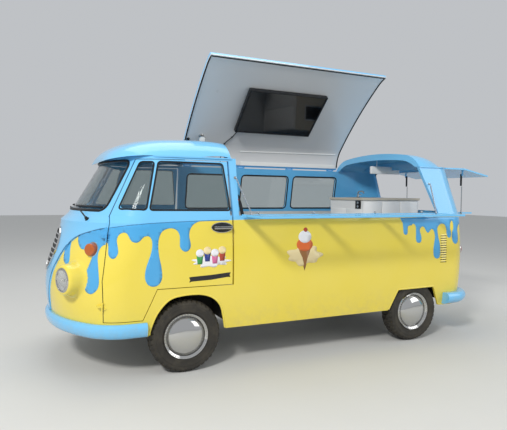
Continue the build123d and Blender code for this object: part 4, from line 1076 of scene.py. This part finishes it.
# Counter: socket plate, panel joints, handles, tap and sink
add("socket_plate", slab(None, (0.9405, -0.268, 1.325), (0.9515, -0.175, 1.412), 0.003), plastic, "body", 40)
bm = bmesh.new()
for z in (1.348, 1.389):
    lathe(bm, pairs(0, 4.5, 12, 4, 14.5, 1.5, 15, -3), (0.942, -0.2215, z), (-1, 0, 0), 24)
add("socket_faces", bm, aluminium, "body", 40)
bm = bmesh.new()
for x0, x1 in pairs(966, 1208, 1216, 1458, 1466, 1714):
    slab(bm, (x0, -0.3065, 0.48), (x1, -0.2995, 1.403), 0.003)
for y0, y1 in ((-0.29, 0.004), (0.012, 0.31)):
    slab(bm, (0.9435, y0, 0.48), (0.9505, y1, 1.318), 0.003)
add("counter_fronts", bm, counter_white, "body", 40)
bm = bmesh.new()
for x in (1.185, 1.435, 1.69):
    bow = smooth_line([(x, y, z) for y, z in pairs(-305, 1270, -330, 1262, -333, 1220, -330, 1178,
                                                   -305, 1170)])
    sweep(bm, bow, disc(0.005, 10), normals=[(1, 0, 0)] * len(bow))
add("counter_handles", bm, aluminium, "body", 50)
bm = lathe(None, pairs(26, 0, 26, 6, 14, 12, 12, 30, 0, 30), (1.28, 0.235, 1.4445), UP, 28)
neck = smooth_line([(1.28, y, z) for y, z in pairs(235, 1460, 235, 1495, 220, 1515, 170, 1520, 130, 1512,
                                                   122, 1495)], 6)
sweep(bm, neck, disc(0.009, 12), normals=[(1, 0, 0)] * len(neck))
slab(bm, (1.274, 0.232, 1.474), (1.33, 0.242, 1.484), 0.003)
add("tap", bm, chrome, "body", 50)
bm = slab(None, (1.06, 0.0, 1.4445), (1.50, 0.20, 1.4475), 0.0012)
slab(bm, (1.075, 0.015, 1.4465), (1.485, 0.185, 1.4485), 0.0008, 1)
add("sink", bm, (aluminium, black), "body", 50)

# Louvres on the rear quarters, with black strips under the vanes as painted shade of the openings beneath
# them
for side, flip in SIDES:
    vanes, slot_shades = bmesh.new(), bmesh.new()
    for k in range(12):
        z = 0.795 + 0.0245 * k
        us = [1.503 + 0.1 * i / 10 for i in range(11)]
        rows = []
        for i, u in enumerate(us):
            p, n = skin_point(rear_tree, u, z)
            out = 0.006 * min(1.0, 3.0 * min(i, 10 - i) / 10) + 0.0006
            rows.append([over(p + n * h + UP * rise, flip) for h, rise in (
                (0.0006, 0.0165), (0.45 * out, 0.010), (out, 0.001), (out - 0.0012, 0.0), (0.0004, 0.0))])
        loft_rings(vanes, rows)
        # A black strip just under each vane is painted shade where the louvre opens
        follow(slot_shades, [skin_point(rear_tree, u, z - 0.0042) for u in us[1:-1]],
               pairs(-4.2, 0, -4.2, 1.2, 4.2, 1.2, 4.2, 0), flip)
    add(f"louvres_{side}", vanes, two_tone, "body", 40)
    add(f"louvre_slot_shades_{side}", slot_shades, black, "body", 40)

# Motor lid: handle and blank plate
BACK = (-1, 0, 0)
PLATE_HALF, PLATE_Z = 0.26, 0.70
lid_tree = search("motor_lid")
p, _ = cast(lid_tree, (2.6, 0, 0.56), BACK, 1.0)
grip = smooth_line([p + Vector((x, y, 0)) for x, y in pairs(-2, -50, 22, -42, 26, 0, 22, 42, -2, 50)], 6)
add("lid_handle", sweep(None, grip, disc(0.0065, 10), normals=[UP] * len(grip)), chrome, "motor_lid", 50)
spots = [cast(lid_tree, (2.6, -PLATE_HALF + 2 * PLATE_HALF * k / 8, PLATE_Z), BACK, 1.0) for k in range(9)]
face = max(p.x for p, _ in spots)
bm = slab(None, (face + 0.001, -PLATE_HALF, 0.645), (face + 0.004, PLATE_HALF, 0.757), 0.0012)
for y in (-0.2, 0.2):
    lathe(bm, pairs(0, 7, 4, 6.5, 6, 4), (face, y, PLATE_Z), (1, 0, 0), 16)
    slab(bm, (face - 0.02, y - 0.012, 0.69), (face + 0.002, y + 0.012, 0.71), 0.001)
add("plate_blank", bm, aluminium, "motor_lid", 50)


# Seat cushions: padded forms swollen by a cloth simulation
def apply(obj, modifier):
    with bpy.context.temp_override(object=obj, active_object=obj, selected_objects=[obj]):
        bpy.ops.object.modifier_apply(modifier=modifier)


def cushion(name, low, high, lean=0.0, cap=0.014, voxel=0.013, frames=20):
    """Block slightly smaller than its solid, remeshed and puffed up by at most cap."""
    low, high = Vector(low), Vector(high)
    bm = slab(None, low, high, 0.028)
    for v in bm.verts:
        v.co.x += lean * (v.co.z - low.z) / (high.z - low.z)
    obj = add(name, bm, vinyl, "body", 180)
    mod = obj.modifiers.new("voxels", "REMESH")
    mod.mode, mod.voxel_size = "VOXEL", voxel
    bpy.context.view_layer.objects.active = obj
    apply(obj, "voxels")
    rest = [v.co.copy() for v in obj.data.vertices]
    cloth = obj.modifiers.new("cloth", "CLOTH")
    cloth.settings.use_pressure = True
    cloth.settings.uniform_pressure_force = 4.0
    cloth.settings.effector_weights.gravity = 0.0
    cloth.settings.tension_stiffness = cloth.settings.compression_stiffness = 12.0
    cloth.point_cache.frame_start, cloth.point_cache.frame_end = 1, frames
    for number in range(1, frames + 1):
        scene.frame_set(number)
    shaped = obj.evaluated_get(bpy.context.evaluated_depsgraph_get())
    moved = [v.co.copy() for v in shaped.data.vertices]
    obj.modifiers.remove(cloth)
    scene.frame_set(1)
    for v, a, b in zip(obj.data.vertices, rest, moved):
        step = b - a
        v.co = a + step * min(1.0, cap / max(step.length, 1e-9))
    obj.data.update()
    sub = obj.modifiers.new("smooth", "SUBSURF")
    sub.levels = sub.render_levels = 1
    apply(obj, "smooth")
    obj.data.shade_smooth()
    return obj


seat = cushion("seat_pad", (-1.325, -0.628, 0.803), (-0.885, 0.628, 0.886))
backrest = cushion("back_pad", (-0.892, -0.628, 0.915), (-0.82, 0.628, 1.255), lean=0.045)
for piece in (seat, backrest):
    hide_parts("seat_cushions")
bm = bmesh.new()
for z, x0, x1 in ((0.885, -1.329, -0.884), (0.812, -1.331, -0.882)):
    loop = rounded(((x0, -0.632), (x1, -0.632), (x1, 0.632), (x0, 0.632)), 0.03)
    sweep(bm, [(p.x, p.y, z) for p in loop], disc(0.0042, 8), True, [UP] * len(loop))
add("seat_piping", bm, black, "body", 60, "seat_vinyl")


# Plain generic decals: cups with scoops and a blank ribbon on the doors, a cone on the sides
def splash(u, z, a, b, waves=9, depth=0.16, count=72):
    out = []
    for k in range(count):
        t = 2 * math.pi * k / count
        s = 1 + depth * math.cos(waves * t) + 0.06 * math.cos(4 * t + 1)
        out.append((u + a * s * math.cos(t), z + b * s * math.sin(t)))
    return out


film = {key: plain(f"decal_{key}", code, 0.34, 0.08, 14.0, 0.02, 0.3) for key, code in
        {"white": "EDEDF2", "green": "3E9A4A", "navy": "2B3C8C", "pink": "D96F9E", "brick": "B5452E",
         "orange": "DF6A2A", "cream": "F0DCA8", "brown": "9C6A36", "ink": "1B1A1E"}.items()}
RIBBON = pairs(-1190, 750, -1170, 757, -1000, 762, -850, 778, -830, 774, -838, 794, -828, 814, -850, 814,
               -1000, 802, -1170, 795, -1192, 792, -1182, 770)
on_door = [("splash", splash(-1.0, 0.915, 0.15, 0.045), "white", 0.0011)]
for k, (u, z, cup, scoop) in enumerate(((-1.10, 0.93, "green", "white"), (-1.035, 0.95, "navy", "cream"),
                                        (-0.97, 0.93, "pink", "white"), (-0.905, 0.95, "brick", "cream"))):
    sides = [(u - 0.020, z - 0.035), (u + 0.020, z - 0.035), (u + 0.030, z + 0.045), (u - 0.030, z + 0.045)]
    on_door += [(f"cup_{k}", sides, cup, 0.0017),
                (f"scoop_{k}", oval(u, z + 0.055, 0.034, 0.032), scoop, 0.0023)]
on_door.append(("ribbon", RIBBON, "ink", 0.0011))
on_side = (("halo", splash(-0.11, 0.93, 0.17, 0.085, 7, 0.12), "cream", 0.0011),
           ("cone", pairs(-110, 790, -45, 1000, -175, 1000), "brown", 0.0017),
           ("low_scoop", oval(-0.11, 1.025, 0.083, 0.06), "orange", 0.0023),
           ("top_scoop", oval(-0.108, 1.095, 0.066, 0.056), "white", 0.0029),
           ("cherry", oval(-0.10, 1.158, 0.02, 0.02, 16), "brick", 0.0033))
for side, flip in SIDES:
    for where, tree, body, parts, spacing in (("door", door_tree, f"door_{side}", on_door, 0.04),
                                              ("side", rear_tree, "body", on_side, 0.05)):
        for key, outline, colour, lift in parts:
            decal(f"{where}_{key}_{side}", outline, tree, body, film[colour], lift, spacing, flip)

# Floor, light and camera
bm = bmesh.new()
bmesh.ops.create_grid(bm, x_segments=2, y_segments=2, size=30)
mesh = bpy.data.meshes.new("floor")
bm.to_mesh(mesh)
bm.free()
floor = bpy.data.objects.new("floor", mesh)
scene.collection.objects.link(floor)
mesh.materials.append(plain("pale_floor", "CFCFCC", 0.8, 0.04, 1.5, 0.02))

world = bpy.data.worlds.new("studio")
scene.world = world
world.use_nodes = True
sky = world.node_tree.nodes["Background"].inputs
sky[0].default_value = (0.93, 0.96, 1.0, 1)
sky[1].default_value = 0.56


def area(name, place, target, size, power, colour=(1, 1, 1), mirrored=True):
    data = bpy.data.lights.new(name, "AREA")
    data.shape = "RECTANGLE"
    data.size, data.size_y = size
    data.energy = power
    data.color = colour
    light = bpy.data.objects.new(name, data)
    scene.collection.objects.link(light)
    light.location = place
    light.visible_glossy = mirrored
    light.rotation_euler = (Vector(target) - Vector(place)).to_track_quat("-Z", "Y").to_euler()


# The key is two lights in one place, so that its mirror image in the glass is weaker than its light
KEY = (-7.2, -7.0, 7.6), (0, -0.5, 1), (1.8, 1.5)
WARM = (1.0, 0.985, 0.96)
area("key", *KEY, 820, WARM, mirrored=False)
area("key_glint", *KEY, 60, WARM)
area("fill", (6, -5, 4), (0, 0, 1), (5, 4), 120)
area("top", (0, 2, 8), (0, 0, 1), (7, 5), 180)

# The photograph's viewing angle, as fitted to the object
PHOTO_WIDTH, FOCAL_PIXELS = 507.0, 507.1355
EYE = (-2.4402, -4.7987, 1.473)
yaw, pitch, roll = (math.radians(a) for a in (24.85475, -2.36459, 0.60025))
forward = Vector((math.sin(yaw) * math.cos(pitch), math.cos(yaw) * math.cos(pitch), math.sin(pitch)))
right = Vector((math.cos(yaw), -math.sin(yaw), 0))
up = right.cross(forward)
camera_data = bpy.data.cameras.new("camera")
camera_data.sensor_width = 36.0
camera_data.lens = 36.0 * FOCAL_PIXELS / PHOTO_WIDTH
camera = bpy.data.objects.new("camera", camera_data)
scene.collection.objects.link(camera)
pose = Matrix((right * math.cos(roll) + up * math.sin(roll), up * math.cos(roll) - right * math.sin(roll),
               -forward)).transposed().to_4x4()
pose.translation = EYE
camera.matrix_world = pose
scene.camera = camera
